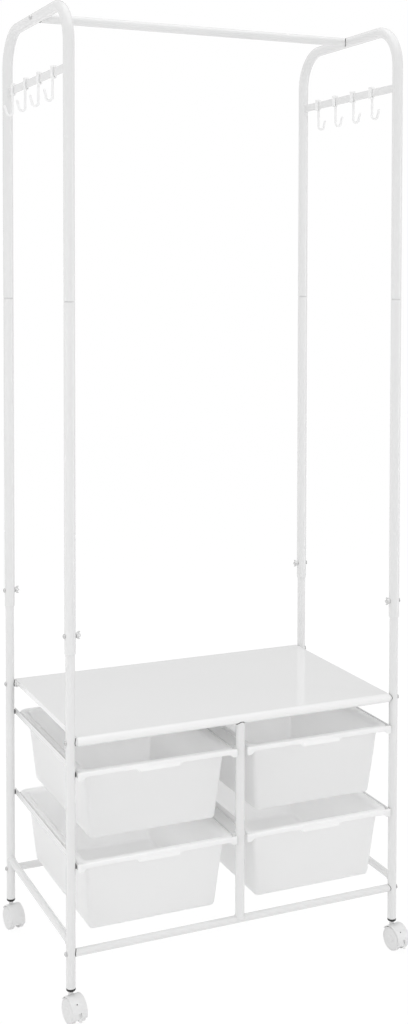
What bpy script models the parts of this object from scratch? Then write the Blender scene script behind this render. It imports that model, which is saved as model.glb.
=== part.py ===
"""Rolling clothes rack with a shelf, side hooks and four pull-out bins, at real size in metres.

The rack stands on the floor at z = 0, with x across, y from front to back and z up.
"""
import math

import bmesh
import bpy
from mathutils import Vector

# Clearance between pieces that touch
GAP = 0.0003

# Plan of the four posts, between their axes
POST_SPAN_X = 0.620
POST_SPAN_Y = 0.360

# Upper frame: hoops and the uprights that carry them
UPPER_TUBE_OD = 0.019
UPPER_TUBE_WALL = 0.0012
HOOP_TOP_Z = 1.680
HOOP_BEND_R = 0.068
HOOP_SEAM_Z = 1.192
SPIGOT_LENGTH = 0.040
SLEEVE_END_Z = 0.612
WING_BOLT_RISE = 0.030
POST_OVERLAP = 0.085

# Hanging rod and the flat hook bars
ROD_OD = 0.016
ROD_WALL = 0.0012
HOOK_BAR_H = 0.014
HOOK_BAR_T = 0.003
HOOK_BAR_DROP = 0.107

# Hooks: a clip round the bar with a bent stem below it
HOOKS_PER_BAR = 4
CLIP_W = 0.010
CLIP_WALL = 0.0024
CLIP_ROOF = 0.0045
CLIP_SLOT = 0.0016
HOOK_WIRE_D = 0.0046
HOOK_DEPTH = 0.041
HOOK_BEND_R = 0.0058
HOOK_TIP_RISE = 0.013
HOOK_TIP_LEAN = 0.003

# Middle and pitch of each row of hooks, as shares of the posts' span from front to back
HOOK_ROWS = {"left": (0.0583, 0.2222), "right": (0.0417, 0.1917)}

# Lower cart tubes
LOWER_TUBE_WALL = 0.0012
CROSS_TUBE_OD = 0.013
CROSS_TUBE_WALL = 0.0010
BOTTOM_TUBE_Z = 0.110
SIDE_RAIL_RISE = 0.018
MID_POST_OD = 0.015
VENT_D = 0.006

# Tube end plugs and the bolts through them
PLUG_FLANGE = 0.0022
PLUG_DEPTH = 0.010
BOLT_D = 0.005
BOLT_HEAD_D = 0.010
BOLT_HEAD_H = 0.0035
WING_NUT_H = 0.006
WING_NUT_D = 0.009
WING_NUT_TAPER = 0.8
WING_SPAN = 0.014
WING_THICKNESS = 0.0018
BOLT_TAIL = 0.002

# Outline of one wing: reach as a share of half the span, rise as a share of the nut's height
WING_OUTLINE = ((0.32, 0.2), (0.8, 0.4), (1.0, 0.9), (0.9, 1.3), (0.32, 0.8))

# Shelf sheet
SHELF_SHEET = 0.0012
SHELF_CURL_DEG = 225
SHELF_SIDE_LIP = 0.009

# Bin runners
RUNNER_HEIGHT = 0.0112
RUNNER_LIP = 0.013
RUNNER_WALL = 0.0015
RUNNER_OVERHANG = 0.006
STANDOFF_T = 0.0022
STANDOFF_D = 0.009

# Bins
TIERS = 2
RIM_DROP = 0.049
BIN_HEADROOM = 0.026
BIN_FLOOR_RISE = 0.023
BIN_HEIGHT = 0.128
BIN_WALL = 0.0022
BIN_FLANGE = 0.016
BIN_TAPER = 0.009
BIN_CORNER_R = 0.012
BIN_FOOT_R = 0.006
BIN_SIDE_CLEARANCE = 0.0022
BIN_REAR_INSET = 0.006
RIM_SKIRT = 0.009
FRONT_BAR_H = 0.012
FRONT_BAR_T = 0.003
FRONT_BAR_CLEARANCE = 0.0005
EAR_DROP = 0.004
EAR_W = 0.012
GRIP_W = 0.078
GRIP_DROP = 0.006
GRIP_OUT = 0.004

# Casters, which stand swivelled a little to one side
WHEEL_D = 0.042
WHEEL_W = 0.0085
WHEEL_GAP = 0.0005
WHEEL_EDGE = 0.0008
AXLE_D = 0.005
CASTER_TRAIL = 0.012
CASTER_SWIVEL_DEG = 8
WEB_T = 0.009
WEB_HUB_SHARE = 0.4
HOOD_SHELL = 0.0018
HOOD_CLEARANCE = 0.001
HOOD_FRONT_DEG = -18
HOOD_BACK_DEG = 145
STEM_D = 0.007
STEM_COLLAR_INSET = 0.0001
STEM_COLLAR_RISE = 0.0025
STEM_SHOW = 0.0014
STEM_IN_HOOD = 0.012
SOCKET_DEPTH = 0.022
SOCKET_RIM = 0.002
SOCKET_TAPER = 0.0045
SOCKET_TIP_D = 0.010

# Brake lever of the front casters
LEVER_PIVOT_INSET = 0.002
LEVER_PIVOT_DEG = 5
LEVER_HUB_D = 0.0044
LEVER_PIN_D = 0.0022
LEVER_W = 0.005
LEVER_LENGTH = 0.0145
LEVER_T = 0.0024
LEVER_DIP_DEG = 68

# Facets
TUBE_SIDES = 12
FASTENER_SIDES = 8
WHEEL_SIDES = 20
BEND_STEPS = 6
CORNER_STEPS = 3

# Sizes that follow
POST_X = POST_SPAN_X / 2
POST_Y = POST_SPAN_Y / 2
UPPER_R = UPPER_TUBE_OD / 2
UPPER_BORE_R = UPPER_R - UPPER_TUBE_WALL
POST_R = UPPER_BORE_R - GAP
POST_BORE_R = POST_R - LOWER_TUBE_WALL
WING_BOLT_Z = SLEEVE_END_Z + WING_BOLT_RISE
POST_TOP_Z = SLEEVE_END_Z + POST_OVERLAP
CROSS_R = CROSS_TUBE_OD / 2
CURL_INNER_R = CROSS_R + GAP
CURL_OUTER_R = CURL_INNER_R + SHELF_SHEET
MID_POST_R = MID_POST_OD / 2
HOOK_BAR_Z = HOOP_TOP_Z - HOOK_BAR_DROP
ROD_R = ROD_OD / 2
BOLT_R = BOLT_D / 2
BOLT_HOLE_R = BOLT_R + GAP
SHELF_HALF_X = POST_X - POST_R - PLUG_FLANGE - 2 * GAP
TIER_PITCH = BIN_HEIGHT + BIN_HEADROOM
RIM_Z = BOTTOM_TUBE_Z + BIN_FLOOR_RISE + BIN_HEIGHT + (TIERS - 1) * TIER_PITCH
SHELF_TUBE_Z = RIM_Z + RIM_DROP
SIDE_RAIL_Z = BOTTOM_TUBE_Z + SIDE_RAIL_RISE
RUNNER_REACH = GAP + STANDOFF_T + RUNNER_WALL
BAY_OUTER_X = POST_X - POST_R - RUNNER_REACH
BAY_INNER_X = MID_POST_R + RUNNER_REACH
BIN_X = (BAY_OUTER_X + BAY_INNER_X) / 2
BAY_HALF_W = (BAY_OUTER_X - BAY_INNER_X) / 2
RIM_HALF_W = BAY_HALF_W - BIN_SIDE_CLEARANCE
BAR_BACK_Y = -(POST_Y + RUNNER_OVERHANG + FRONT_BAR_CLEARANCE)
RIM_FRONT_Y = BAR_BACK_Y - FRONT_BAR_T / 2
RIM_REAR_Y = POST_Y - BIN_REAR_INSET
RUNNER_DROP = RIM_SKIRT + GAP + RUNNER_WALL
EAR_H = FRONT_BAR_H + EAR_DROP
GRIP_H = FRONT_BAR_H + GRIP_DROP
WHEEL_R = WHEEL_D / 2
AXLE_Z = WHEEL_R * math.cos(math.pi / WHEEL_SIDES)
HOOD_INNER_R = WHEEL_R + HOOD_CLEARANCE
HOOD_OUTER_R = HOOD_INNER_R + HOOD_SHELL
CASTER_HALF_W = WEB_T / 2 + WHEEL_GAP + WHEEL_W
CASTER_SWIVEL = math.radians(CASTER_SWIVEL_DEG)
STEM_R = STEM_D / 2
STEM_COLLAR_R = WEB_T / 2 - STEM_COLLAR_INSET
STEM_SEAT_Z = AXLE_Z + math.sqrt(HOOD_OUTER_R**2 - CASTER_TRAIL**2)
SOCKET_LOW = GAP + SOCKET_RIM + SOCKET_TAPER
POST_FOOT_Z = STEM_SEAT_Z + STEM_COLLAR_RISE + STEM_SHOW + SOCKET_LOW
LEVER_PIVOT_R = WHEEL_R - LEVER_PIVOT_INSET
PIVOT_Y = -CASTER_TRAIL - LEVER_PIVOT_R * math.cos(math.radians(LEVER_PIVOT_DEG))
PIVOT_Z = AXLE_Z + LEVER_PIVOT_R * math.sin(math.radians(LEVER_PIVOT_DEG))
LEVER_DIP = math.radians(LEVER_DIP_DEG)
LEVER_REACH = LEVER_LENGTH * math.cos(LEVER_DIP) + LEVER_T / 2 * math.sin(LEVER_DIP) - PIVOT_Y
SWIVEL_COS = math.cos(CASTER_SWIVEL)
SWIVEL_SIN = math.sin(CASTER_SWIVEL)
FRONT_REACH = POST_Y + max(
    (CASTER_TRAIL + HOOD_OUTER_R) * SWIVEL_COS + CASTER_HALF_W * SWIVEL_SIN,
    LEVER_REACH * SWIVEL_COS + LEVER_W / 2 * SWIVEL_SIN,
)
REAR_REACH = POST_Y + max(
    (AXLE_Z - CASTER_TRAIL) * SWIVEL_COS + (CASTER_HALF_W - WHEEL_EDGE) * SWIVEL_SIN,
    UPPER_R,
)
ORIGIN_SHIFT_Y = (FRONT_REACH - REAR_REACH) / 2

CORNERS = {
    "front_left": (-1, -1),
    "front_right": (1, -1),
    "rear_left": (-1, 1),
    "rear_right": (1, 1),
}
SIDES = {"left": -1, "right": 1}
AXES = {
    "X": (Vector((0, 1, 0)), Vector((0, 0, 1)), Vector((1, 0, 0))),
    "Y": (Vector((1, 0, 0)), Vector((0, 0, 1)), Vector((0, 1, 0))),
    "Z": (Vector((1, 0, 0)), Vector((0, 1, 0)), Vector((0, 0, 1))),
}


def clear_scene():
    """Empties the scene before modelling."""
    for item in list(bpy.data.objects):
        bpy.data.objects.remove(item, do_unlink=True)


def make_material(name, colour, roughness, metallic=0.0):
    """One plain surface with its colour, roughness and metal share."""
    material = bpy.data.materials.new(name)
    material.use_nodes = True
    shader = material.node_tree.nodes["Principled BSDF"]
    shader.inputs["Base Color"].default_value = (*colour, 1.0)
    shader.inputs["Roughness"].default_value = roughness
    shader.inputs["Metallic"].default_value = metallic
    material.diffuse_color = (*colour, 1.0)
    return material


def add_empty(name, place):
    """An axis that other pieces hang on."""
    item = bpy.data.objects.new(name, None)
    item.location = place
    bpy.context.scene.collection.objects.link(item)
    return item


def add_object(name, bm, material, parent=None, place=(0, 0, 0), turn=0.0):
    """Turns a modelled shape into a named piece, smooth over its round faces."""
    bmesh.ops.recalc_face_normals(bm, faces=bm.faces)
    mesh = bpy.data.meshes.new(name)
    bm.to_mesh(mesh)
    bm.free()
    if material:
        mesh.materials.append(material)
    mesh.shade_smooth()
    mesh.set_sharp_from_angle(angle=math.radians(35))
    item = bpy.data.objects.new(name, mesh)
    item.parent = parent
    item.location = place
    item.rotation_euler.z = turn
    bpy.context.scene.collection.objects.link(item)
    return item


def skin(rings, hollow=False):
    """Joins rings of points with faces; a hollow skin closes on itself, a solid one gets two caps."""
    bm = bmesh.new()
    loops = [[bm.verts.new(point) for point in ring] for ring in rings]
    pairs = list(zip(loops, loops[1:]))
    if hollow:
        pairs.append((loops[-1], loops[0]))
    for low, high in pairs:
        for index in range(len(low)):
            after = (index + 1) % len(low)
            bm.faces.new((low[index], low[after], high[after], high[index]))
    if not hollow:
        bm.faces.new(loops[0])
        bm.faces.new(loops[-1])
    return bm


def circle(centre, across, up, radius, sides=TUBE_SIDES):
    """Points of a circle in the plane of two directions."""
    turns = [2 * math.pi * step / sides for step in range(sides)]
    return [centre + radius * (math.cos(turn) * across + math.sin(turn) * up) for turn in turns]


def turned(profile, axis, centre=(0, 0, 0), sides=TUBE_SIDES, hollow=False, sign=1):
    """A turned solid: the profile gives places along the axis and radii."""
    across, up, along = AXES[axis]
    middle = Vector(centre)
    rings = []
    for place, radius in profile:
        rings.append(circle(middle + sign * place * along, across, up, radius, sides))
    return skin(rings, hollow)


def rod(axis, start, end, radius, centre=(0, 0, 0), sides=TUBE_SIDES):
    """A plain round rod along one axis, also used to cut bores, holes and seats."""
    return turned([(start, radius), (end, radius)], axis, centre, sides)


def tube(axis, start, end, outer_r, inner_r, sides=TUBE_SIDES):
    """An open tube along one axis."""
    profile = [(start, outer_r), (end, outer_r), (end, inner_r), (start, inner_r)]
    return turned(profile, axis, sides=sides, hollow=True)


def block(low, high):
    """A box between two corners."""
    ring = [(low[0], low[1]), (high[0], low[1]), (high[0], high[1]), (low[0], high[1])]
    return skin([[Vector((x, y, z)) for x, y in ring] for z in (low[2], high[2])])


def prism(outline, axis, start, end):
    """A flat outline drawn in the two other axes and pulled along one axis."""
    across, up, along = AXES[axis]
    return skin([[a * across + b * up + place * along for a, b in outline] for place in (start, end)])


def temporary(bm):
    """A throwaway object for a solid that joins or cuts another."""
    return add_object("solid", bm, None)


def combined(base, others, operation):
    """The base solid joined with, or cut by, the other solids."""
    body = temporary(base)
    tools = [temporary(other) for other in others]
    for tool in tools:
        modifier = body.modifiers.new("combine", "BOOLEAN")
        modifier.operation = operation
        modifier.solver = "EXACT"
        modifier.object = tool
    bpy.context.view_layer.update()
    result = bmesh.new()
    result.from_object(body, bpy.context.evaluated_depsgraph_get())
    for item in [body, *tools]:
        bpy.data.objects.remove(item, do_unlink=True)
    return result


def fused(base, *others):
    """Overlapping solids as one closed solid."""
    return combined(base, others, "UNION")


def carved(base, *cutters):
    """A solid with the cutters taken away."""
    return combined(base, cutters, "DIFFERENCE")


def hoop_ring(station):
    """One ring of the bent hoop tube."""
    y, z, angle, radius = station
    outward = Vector((0, math.cos(angle), math.sin(angle)))
    return circle(Vector((0, y, z)), outward, Vector((1, 0, 0)), radius)


def hoop_solid(radius, spigot_r, low_z, step_z):
    """A solid bar bent like the hoop, from the front spigot over the top to the rear spigot."""
    front, rear = math.pi, 0.0
    leg = [(low_z, spigot_r), (step_z, spigot_r), (step_z, radius)]
    stations = [(-POST_Y, z, front, ring_r) for z, ring_r in leg]
    for side, first, last in ((-1, front, math.pi / 2), (1, math.pi / 2, rear)):
        for step in range(BEND_STEPS + 1):
            angle = first + (last - first) * step / BEND_STEPS
            y = side * (POST_Y - HOOP_BEND_R) + HOOP_BEND_R * math.cos(angle)
            z = HOOP_TOP_Z - HOOP_BEND_R + HOOP_BEND_R * math.sin(angle)
            stations.append((y, z, angle, radius))
    stations += [(POST_Y, z, rear, ring_r) for z, ring_r in leg[::-1]]
    return skin([hoop_ring(station) for station in stations])


def build_hoops(rack, paint):
    """The two bent top hoops, whose reduced ends plug into the uprights, with their flat hook bars."""
    spigot_r = UPPER_BORE_R - GAP
    spigot_bore_r = spigot_r - UPPER_TUBE_WALL
    low_z = HOOP_SEAM_Z - SPIGOT_LENGTH
    bar_end = POST_Y - UPPER_R / 2
    half_h = HOOK_BAR_H / 2
    half_t = HOOK_BAR_T / 2
    for side, sign in SIDES.items():
        outside = hoop_solid(UPPER_R, spigot_r, low_z, HOOP_SEAM_Z)
        bar = block((-half_t, -bar_end, HOOK_BAR_Z - half_h), (half_t, bar_end, HOOK_BAR_Z + half_h))
        bore_low, bore_step = low_z - UPPER_TUBE_WALL, HOOP_SEAM_Z + UPPER_TUBE_WALL
        bore = hoop_solid(UPPER_BORE_R, spigot_bore_r, bore_low, bore_step)
        hole = rod("X", -UPPER_TUBE_OD, UPPER_TUBE_OD, BOLT_HOLE_R, (0, 0, HOOP_TOP_Z), FASTENER_SIDES)
        shape = carved(fused(outside, bar), bore, hole)
        add_object(f"{side}_top_hoop", shape, paint, rack, (sign * POST_X, 0, 0))


def build_uprights(rack, paint):
    """Four straight tubes that sleeve over the lower posts."""
    for corner, (side, depth) in CORNERS.items():
        sleeve = tube("Z", SLEEVE_END_Z, HOOP_SEAM_Z - GAP, UPPER_R, UPPER_BORE_R)
        hole = rod("X", -UPPER_TUBE_OD, UPPER_TUBE_OD, BOLT_HOLE_R, (0, 0, WING_BOLT_Z), FASTENER_SIDES)
        place = (side * POST_X, depth * POST_Y, 0)
        add_object(f"{corner}_upright", carved(sleeve, hole), paint, rack, place)


def build_side_frames(rack, paint):
    """The lower cart's two welded sides: two posts and a bottom rail, drilled for all bolts."""
    rail_end = POST_Y - POST_R / 2
    bore_end = POST_Y - POST_R / 3
    for side, sign in SIDES.items():
        rail = rod("Y", -rail_end, rail_end, CROSS_R, (0, 0, SIDE_RAIL_Z))
        bores = [rod("Y", -bore_end, bore_end, CROSS_R - CROSS_TUBE_WALL, (0, 0, SIDE_RAIL_Z))]
        posts = []
        for y in (-POST_Y, POST_Y):
            posts.append(rod("Z", POST_FOOT_Z, POST_TOP_Z, POST_R, (0, y, 0)))
            bores.append(rod("Z", POST_FOOT_Z - GAP, POST_TOP_Z + GAP, POST_BORE_R, (0, y, 0)))
            for z in (WING_BOLT_Z, SHELF_TUBE_Z, BOTTOM_TUBE_Z):
                bores.append(rod("X", -UPPER_R, UPPER_R, BOLT_HOLE_R, (0, y, z), FASTENER_SIDES))
        shape = carved(fused(rail, *posts), *bores)
        add_object(f"{side}_side_frame", shape, paint, rack, (sign * POST_X, 0, 0))


def bolt_profile(tail, seat_r):
    """A bolt through a tube of a given radius: a shank back to the tail and a head outside."""
    face = seat_r + GAP
    crown = face + BOLT_HEAD_H
    half = BOLT_HEAD_D / 2
    edge = BOLT_HEAD_H / 3
    return [(-tail, BOLT_R), (face, BOLT_R), (face, half), (crown - edge, half), (crown, half - edge)]


def build_wing_bolts(rack, steel):
    """Bolts that lock the uprights on the lower posts, each with its wing nut on the inner side."""
    seat = UPPER_R + GAP
    nut_end = seat + WING_NUT_H
    hub_r = WING_NUT_D / 2
    half = WING_SPAN / 2
    for corner, (side, depth) in CORNERS.items():
        profile = [(-nut_end - BOLT_TAIL, BOLT_R), (-nut_end, BOLT_R)]
        profile += [(-nut_end, hub_r * WING_NUT_TAPER), (-seat, hub_r)]
        profile += bolt_profile(seat, UPPER_R)
        bolt = turned(profile, "X", sides=FASTENER_SIDES, sign=side)
        wings = []
        for way in (-1, 1):
            outline = []
            for reach, rise in WING_OUTLINE:
                outline.append((-side * (seat + rise * WING_NUT_H), way * reach * half))
            wings.append(prism(outline, "Y", -WING_THICKNESS / 2, WING_THICKNESS / 2))
        place = (side * POST_X, depth * POST_Y, WING_BOLT_Z)
        add_object(f"{corner}_wing_bolt", fused(bolt, *wings), steel, rack, place)


def build_bolts(rack, steel):
    """Bolts that draw the cross tubes to the posts and the hanging rod to the hoops."""
    for corner, (side, depth) in CORNERS.items():
        for level, z in (("shelf", SHELF_TUBE_Z), ("bottom", BOTTOM_TUBE_Z)):
            profile = bolt_profile(POST_R + GAP + PLUG_FLANGE + PLUG_DEPTH, POST_R)
            bolt = turned(profile, "X", sides=FASTENER_SIDES, sign=side)
            add_object(f"{corner}_{level}_bolt", bolt, steel, rack, (side * POST_X, depth * POST_Y, z))
    for side, sign in SIDES.items():
        profile = bolt_profile(UPPER_R + GAP + PLUG_FLANGE + PLUG_DEPTH, UPPER_R)
        bolt = turned(profile, "X", sides=FASTENER_SIDES, sign=sign)
        add_object(f"{side}_rod_bolt", bolt, steel, rack, (sign * POST_X, 0, HOOP_TOP_Z))


def plugged_tube_cutters(bore_r, seat_axis, seat_r, z=0.0):
    """Cutters for a tube along x: its bore, the bolt holes in its plugs and its end saddles."""
    inner = POST_X - seat_r - GAP - PLUG_FLANGE - PLUG_DEPTH
    cutters = [rod("X", -inner, inner, bore_r, (0, 0, z))]
    for side in SIDES.values():
        ends = sorted((side * (inner - PLUG_DEPTH), side * POST_X))
        cutters.append(rod("X", *ends, BOLT_HOLE_R, (0, 0, z), FASTENER_SIDES))
        reach = CROSS_TUBE_OD + ROD_OD
        place = (side * POST_X, 0, z)
        cutters.append(rod(seat_axis, -reach, reach, seat_r + GAP, place))
    return cutters


def build_cross_tubes(rack, paint):
    """Plugged tubes that run from side to side: two under the shelf edges and the hanging rod."""
    for depth, sign in (("front", -1), ("rear", 1)):
        outside = rod("X", -POST_X, POST_X, CROSS_R)
        shape = carved(outside, *plugged_tube_cutters(CROSS_R - CROSS_TUBE_WALL, "Z", POST_R))
        add_object(f"{depth}_shelf_tube", shape, paint, rack, (0, sign * POST_Y, SHELF_TUBE_Z))
    outside = rod("X", -POST_X, POST_X, ROD_R)
    shape = carved(outside, *plugged_tube_cutters(ROD_R - ROD_WALL, "Y", UPPER_R))
    add_object("hanging_rod", shape, paint, rack, (0, 0, HOOP_TOP_Z))


def build_bottom_tees(rack, paint):
    """Plugged bottom tubes, each with a capped and vented middle post up to the shelf's curl."""
    rise = SHELF_TUBE_Z - BOTTOM_TUBE_Z
    bore_r = MID_POST_R - LOWER_TUBE_WALL
    cap = rise - CURL_OUTER_R - PLUG_FLANGE
    for depth, sign in (("front", -1), ("rear", 1)):
        outside = rod("X", -POST_X, POST_X, CROSS_R)
        post = rod("Z", CROSS_R / 4, rise - CURL_OUTER_R / 2, MID_POST_R)
        cutters = plugged_tube_cutters(CROSS_R - CROSS_TUBE_WALL, "Z", POST_R)
        cutters.append(rod("Z", CROSS_R + LOWER_TUBE_WALL, cap, bore_r))
        cutters.append(rod("Z", CROSS_R / 2, CROSS_R + 2 * LOWER_TUBE_WALL, VENT_D / 2))
        cutters.append(rod("X", -MID_POST_OD, MID_POST_OD, CURL_OUTER_R + GAP, (0, 0, rise)))
        shape = carved(fused(outside, post), *cutters)
        add_object(f"{depth}_bottom_tee", shape, paint, rack, (0, sign * POST_Y, BOTTOM_TUBE_Z))


def hook_shape():
    """A hook about the middle of a flat bar along y, with its mouth towards +x."""
    wire_r = HOOK_WIRE_D / 2
    inner_x = HOOK_BAR_T / 2 + GAP
    inner_z = HOOK_BAR_H / 2 + GAP
    outer_x = inner_x + CLIP_WALL
    low_z = -inner_z - CLIP_WALL
    half_w = CLIP_W / 2
    clip = block((-outer_x, -half_w, low_z), (outer_x, half_w, inner_z + CLIP_ROOF))
    window = block((-inner_x, -CLIP_W, -inner_z), (inner_x, CLIP_W, inner_z))
    slot = block((-CLIP_SLOT, -CLIP_W, 2 * low_z), (0, CLIP_W, 0))
    stem_x = outer_x - wire_r
    path = [((stem_x, low_z + CLIP_WALL / 2), math.pi)]
    for step in range(BEND_STEPS + 1):
        turn = math.pi + math.pi * step / BEND_STEPS
        x = stem_x + HOOK_BEND_R + HOOK_BEND_R * math.cos(turn)
        z = -HOOK_DEPTH + HOOK_BEND_R * math.sin(turn)
        path.append(((x, z), turn))
    path.append(((stem_x + 2 * HOOK_BEND_R + HOOK_TIP_LEAN, HOOK_TIP_RISE - HOOK_DEPTH), 2 * math.pi))
    rings = []
    for (x, z), turn in path:
        outward = Vector((math.cos(turn), 0, math.sin(turn)))
        rings.append(circle(Vector((x, 0, z)), outward, Vector((0, 1, 0)), wire_r, FASTENER_SIDES))
    return fused(carved(clip, window, slot), skin(rings))


def build_hooks(rack, plastic):
    """Four sliding hooks on each side bar, with their mouths facing outwards."""
    for side, sign in SIDES.items():
        middle, pitch = HOOK_ROWS[side]
        for index in range(HOOKS_PER_BAR):
            y = POST_SPAN_Y * (middle + (index - (HOOKS_PER_BAR - 1) / 2) * pitch)
            turn = 0.0 if sign > 0 else math.pi
            place = (sign * POST_X, y, HOOK_BAR_Z)
            add_object(f"{side}_hook_{index + 1}", hook_shape(), plastic, rack, place, turn)


def build_shelf(rack, sheet):
    """One sheet, its front and rear edges curled round the shelf tubes, its sides folded down."""
    curl = math.radians(SHELF_CURL_DEG)
    steps = 2 * BEND_STEPS
    bends = [curl * step / steps for step in range(steps + 1)]
    stations = [(-POST_Y, math.pi / 2 + bend) for bend in bends[::-1]]
    stations += [(POST_Y, math.pi / 2 - bend) for bend in bends]
    rings = []
    for y, turn in stations:
        ring = []
        for x, radius in ((-1, CURL_INNER_R), (-1, CURL_OUTER_R), (1, CURL_OUTER_R), (1, CURL_INNER_R)):
            ring.append(Vector((x * SHELF_HALF_X, y + radius * math.cos(turn), radius * math.sin(turn))))
        rings.append(ring)
    lips = []
    for side in SIDES.values():
        edges = sorted((side * SHELF_HALF_X, side * (SHELF_HALF_X - SHELF_SHEET)))
        reach = POST_Y - CURL_OUTER_R
        top = CURL_OUTER_R - SHELF_SHEET / 2
        lips.append(block((edges[0], -reach, CURL_OUTER_R - SHELF_SIDE_LIP), (edges[1], reach, top)))
    add_object("shelf_panel", fused(skin(rings), *lips), sheet, rack, (0, 0, SHELF_TUBE_Z))


def tier_name(tier):
    """Plain name of a tier, counted from the top."""
    return "upper" if tier == 0 else "lower"


def build_runners(rack, paint):
    """Steel runners that carry the bins: angles on the posts and hat channels in the middle."""
    wall = RUNNER_WALL
    lip = RUNNER_LIP
    for tier in range(TIERS):
        low_z = RIM_Z - tier * TIER_PITCH - RUNNER_DROP
        reach = POST_Y + RUNNER_OVERHANG
        for side, sign in SIDES.items():
            web = sign * (BAY_OUTER_X + wall)
            inwards = [(0, 0), (lip, 0), (lip, wall), (wall, wall)]
            inwards += [(wall, RUNNER_HEIGHT), (0, RUNNER_HEIGHT)]
            angle = prism([(-sign * x, z) for x, z in inwards], "Y", -reach, reach)
            standoffs = []
            for y in (-POST_Y, POST_Y):
                ends = sorted((-sign * wall / 2, sign * STANDOFF_T))
                standoffs.append(rod("X", *ends, STANDOFF_D / 2, (0, y, RUNNER_HEIGHT / 2)))
            name = f"{tier_name(tier)}_{side}_runner"
            add_object(name, fused(angle, *standoffs), paint, rack, (web, 0, low_z))
        half = BAY_INNER_X
        brim = half - wall + lip
        right = [(half - wall, 0), (brim, 0), (brim, wall), (half, wall), (half, RUNNER_HEIGHT)]
        crown = [(-half + wall, RUNNER_HEIGHT - wall), (half - wall, RUNNER_HEIGHT - wall)]
        middle_reach = POST_Y - MID_POST_R - GAP
        outline = crown + right + [(-x, z) for x, z in right[::-1]]
        hat = prism(outline, "Y", -middle_reach, middle_reach)
        add_object(f"{tier_name(tier)}_middle_runner", hat, paint, rack, (0, 0, low_z))


def rounded_outline(half_x, front_y, rear_y, radius, z):
    """A rectangle with round corners, as a ring of points."""
    points = []
    front, rear = front_y + radius, rear_y - radius
    for side, y, quarter in ((1, rear, 0), (-1, rear, 1), (-1, front, 2), (1, front, 3)):
        for step in range(CORNER_STEPS + 1):
            turn = math.pi / 2 * (quarter + step / CORNER_STEPS)
            x = side * (half_x - radius) + radius * math.cos(turn)
            points.append(Vector((x, y + radius * math.sin(turn), z)))
    return points


def bin_ring(inset, z):
    """An outline of the bin at one height, set in from the rim's outer edge."""
    radius = max(BIN_CORNER_R - inset / 4, BIN_CORNER_R / 2)
    return rounded_outline(RIM_HALF_W - inset, RIM_FRONT_Y + inset, RIM_REAR_Y - inset, radius, z)


def bin_shape():
    """A tapered bin with a rolled rim, a front bar with ears and a grip; its rim top is at z = 0."""
    floor = -BIN_HEIGHT
    foot = BIN_FLANGE + BIN_TAPER
    foot_bend = BIN_FOOT_R * (1 - math.sqrt(0.5))
    rim_edge = BIN_WALL / 2
    rings = [
        bin_ring(foot + BIN_FOOT_R, floor),
        bin_ring(foot + foot_bend, floor + foot_bend),
        bin_ring(foot, floor + BIN_FOOT_R),
        bin_ring(BIN_FLANGE, -BIN_WALL),
        bin_ring(BIN_WALL, -BIN_WALL),
        bin_ring(BIN_WALL, -RIM_SKIRT),
        bin_ring(0, -RIM_SKIRT),
        bin_ring(0, -rim_edge),
        bin_ring(rim_edge, 0),
        bin_ring(BIN_FLANGE, 0),
        bin_ring(BIN_FLANGE + BIN_WALL, -BIN_WALL),
        bin_ring(foot + BIN_WALL, floor + BIN_WALL + BIN_FOOT_R),
        bin_ring(foot + BIN_WALL + BIN_FOOT_R, floor + BIN_WALL),
    ]
    half = BAY_HALF_W + RUNNER_WALL
    grip = GRIP_W / 2
    slope = GRIP_H - FRONT_BAR_H
    lower_edge = [
        (-half, -EAR_H),
        (-half + EAR_W, -EAR_H),
        (-half + EAR_W + EAR_H - FRONT_BAR_H, -FRONT_BAR_H),
        (-grip - slope, -FRONT_BAR_H),
        (-grip, -GRIP_H),
    ]
    outline = lower_edge + [(-x, z) for x, z in lower_edge[::-1]]
    outline += [(half, -rim_edge), (half - rim_edge, 0), (-half + rim_edge, 0), (-half, -rim_edge)]
    bar_front = BAR_BACK_Y - FRONT_BAR_T
    bar = prism(outline, "Y", bar_front, BAR_BACK_Y)
    root = bar_front + FRONT_BAR_T / 3
    tip = bar_front - GRIP_OUT
    low = -GRIP_H + rim_edge
    lip_outline = [(root, -rim_edge), (root, low), (tip, low), (tip, -GRIP_H / 2)]
    lip = prism(lip_outline, "X", -grip + rim_edge, grip - rim_edge)
    return fused(skin(rings), bar, lip)


def build_bins(rack, plastic):
    """Four bins that ride on the runners and pull out to the front."""
    for tier in range(TIERS):
        for side, sign in SIDES.items():
            place = (sign * BIN_X, 0, RIM_Z - tier * TIER_PITCH)
            add_object(f"{tier_name(tier)}_{side}_bin", bin_shape(), plastic, rack, place)


def hood_point(radius, degrees):
    """A place on a circle round the axle, with angles from straight ahead and up."""
    turn = math.radians(degrees)
    return (-CASTER_TRAIL - radius * math.cos(turn), AXLE_Z + radius * math.sin(turn))


def arc_points(radius):
    """Places along the hood's arc round the axle."""
    steps = 2 * BEND_STEPS
    span = HOOD_BACK_DEG - HOOD_FRONT_DEG
    return [hood_point(radius, HOOD_FRONT_DEG + span * step / steps) for step in range(steps + 1)]


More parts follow.
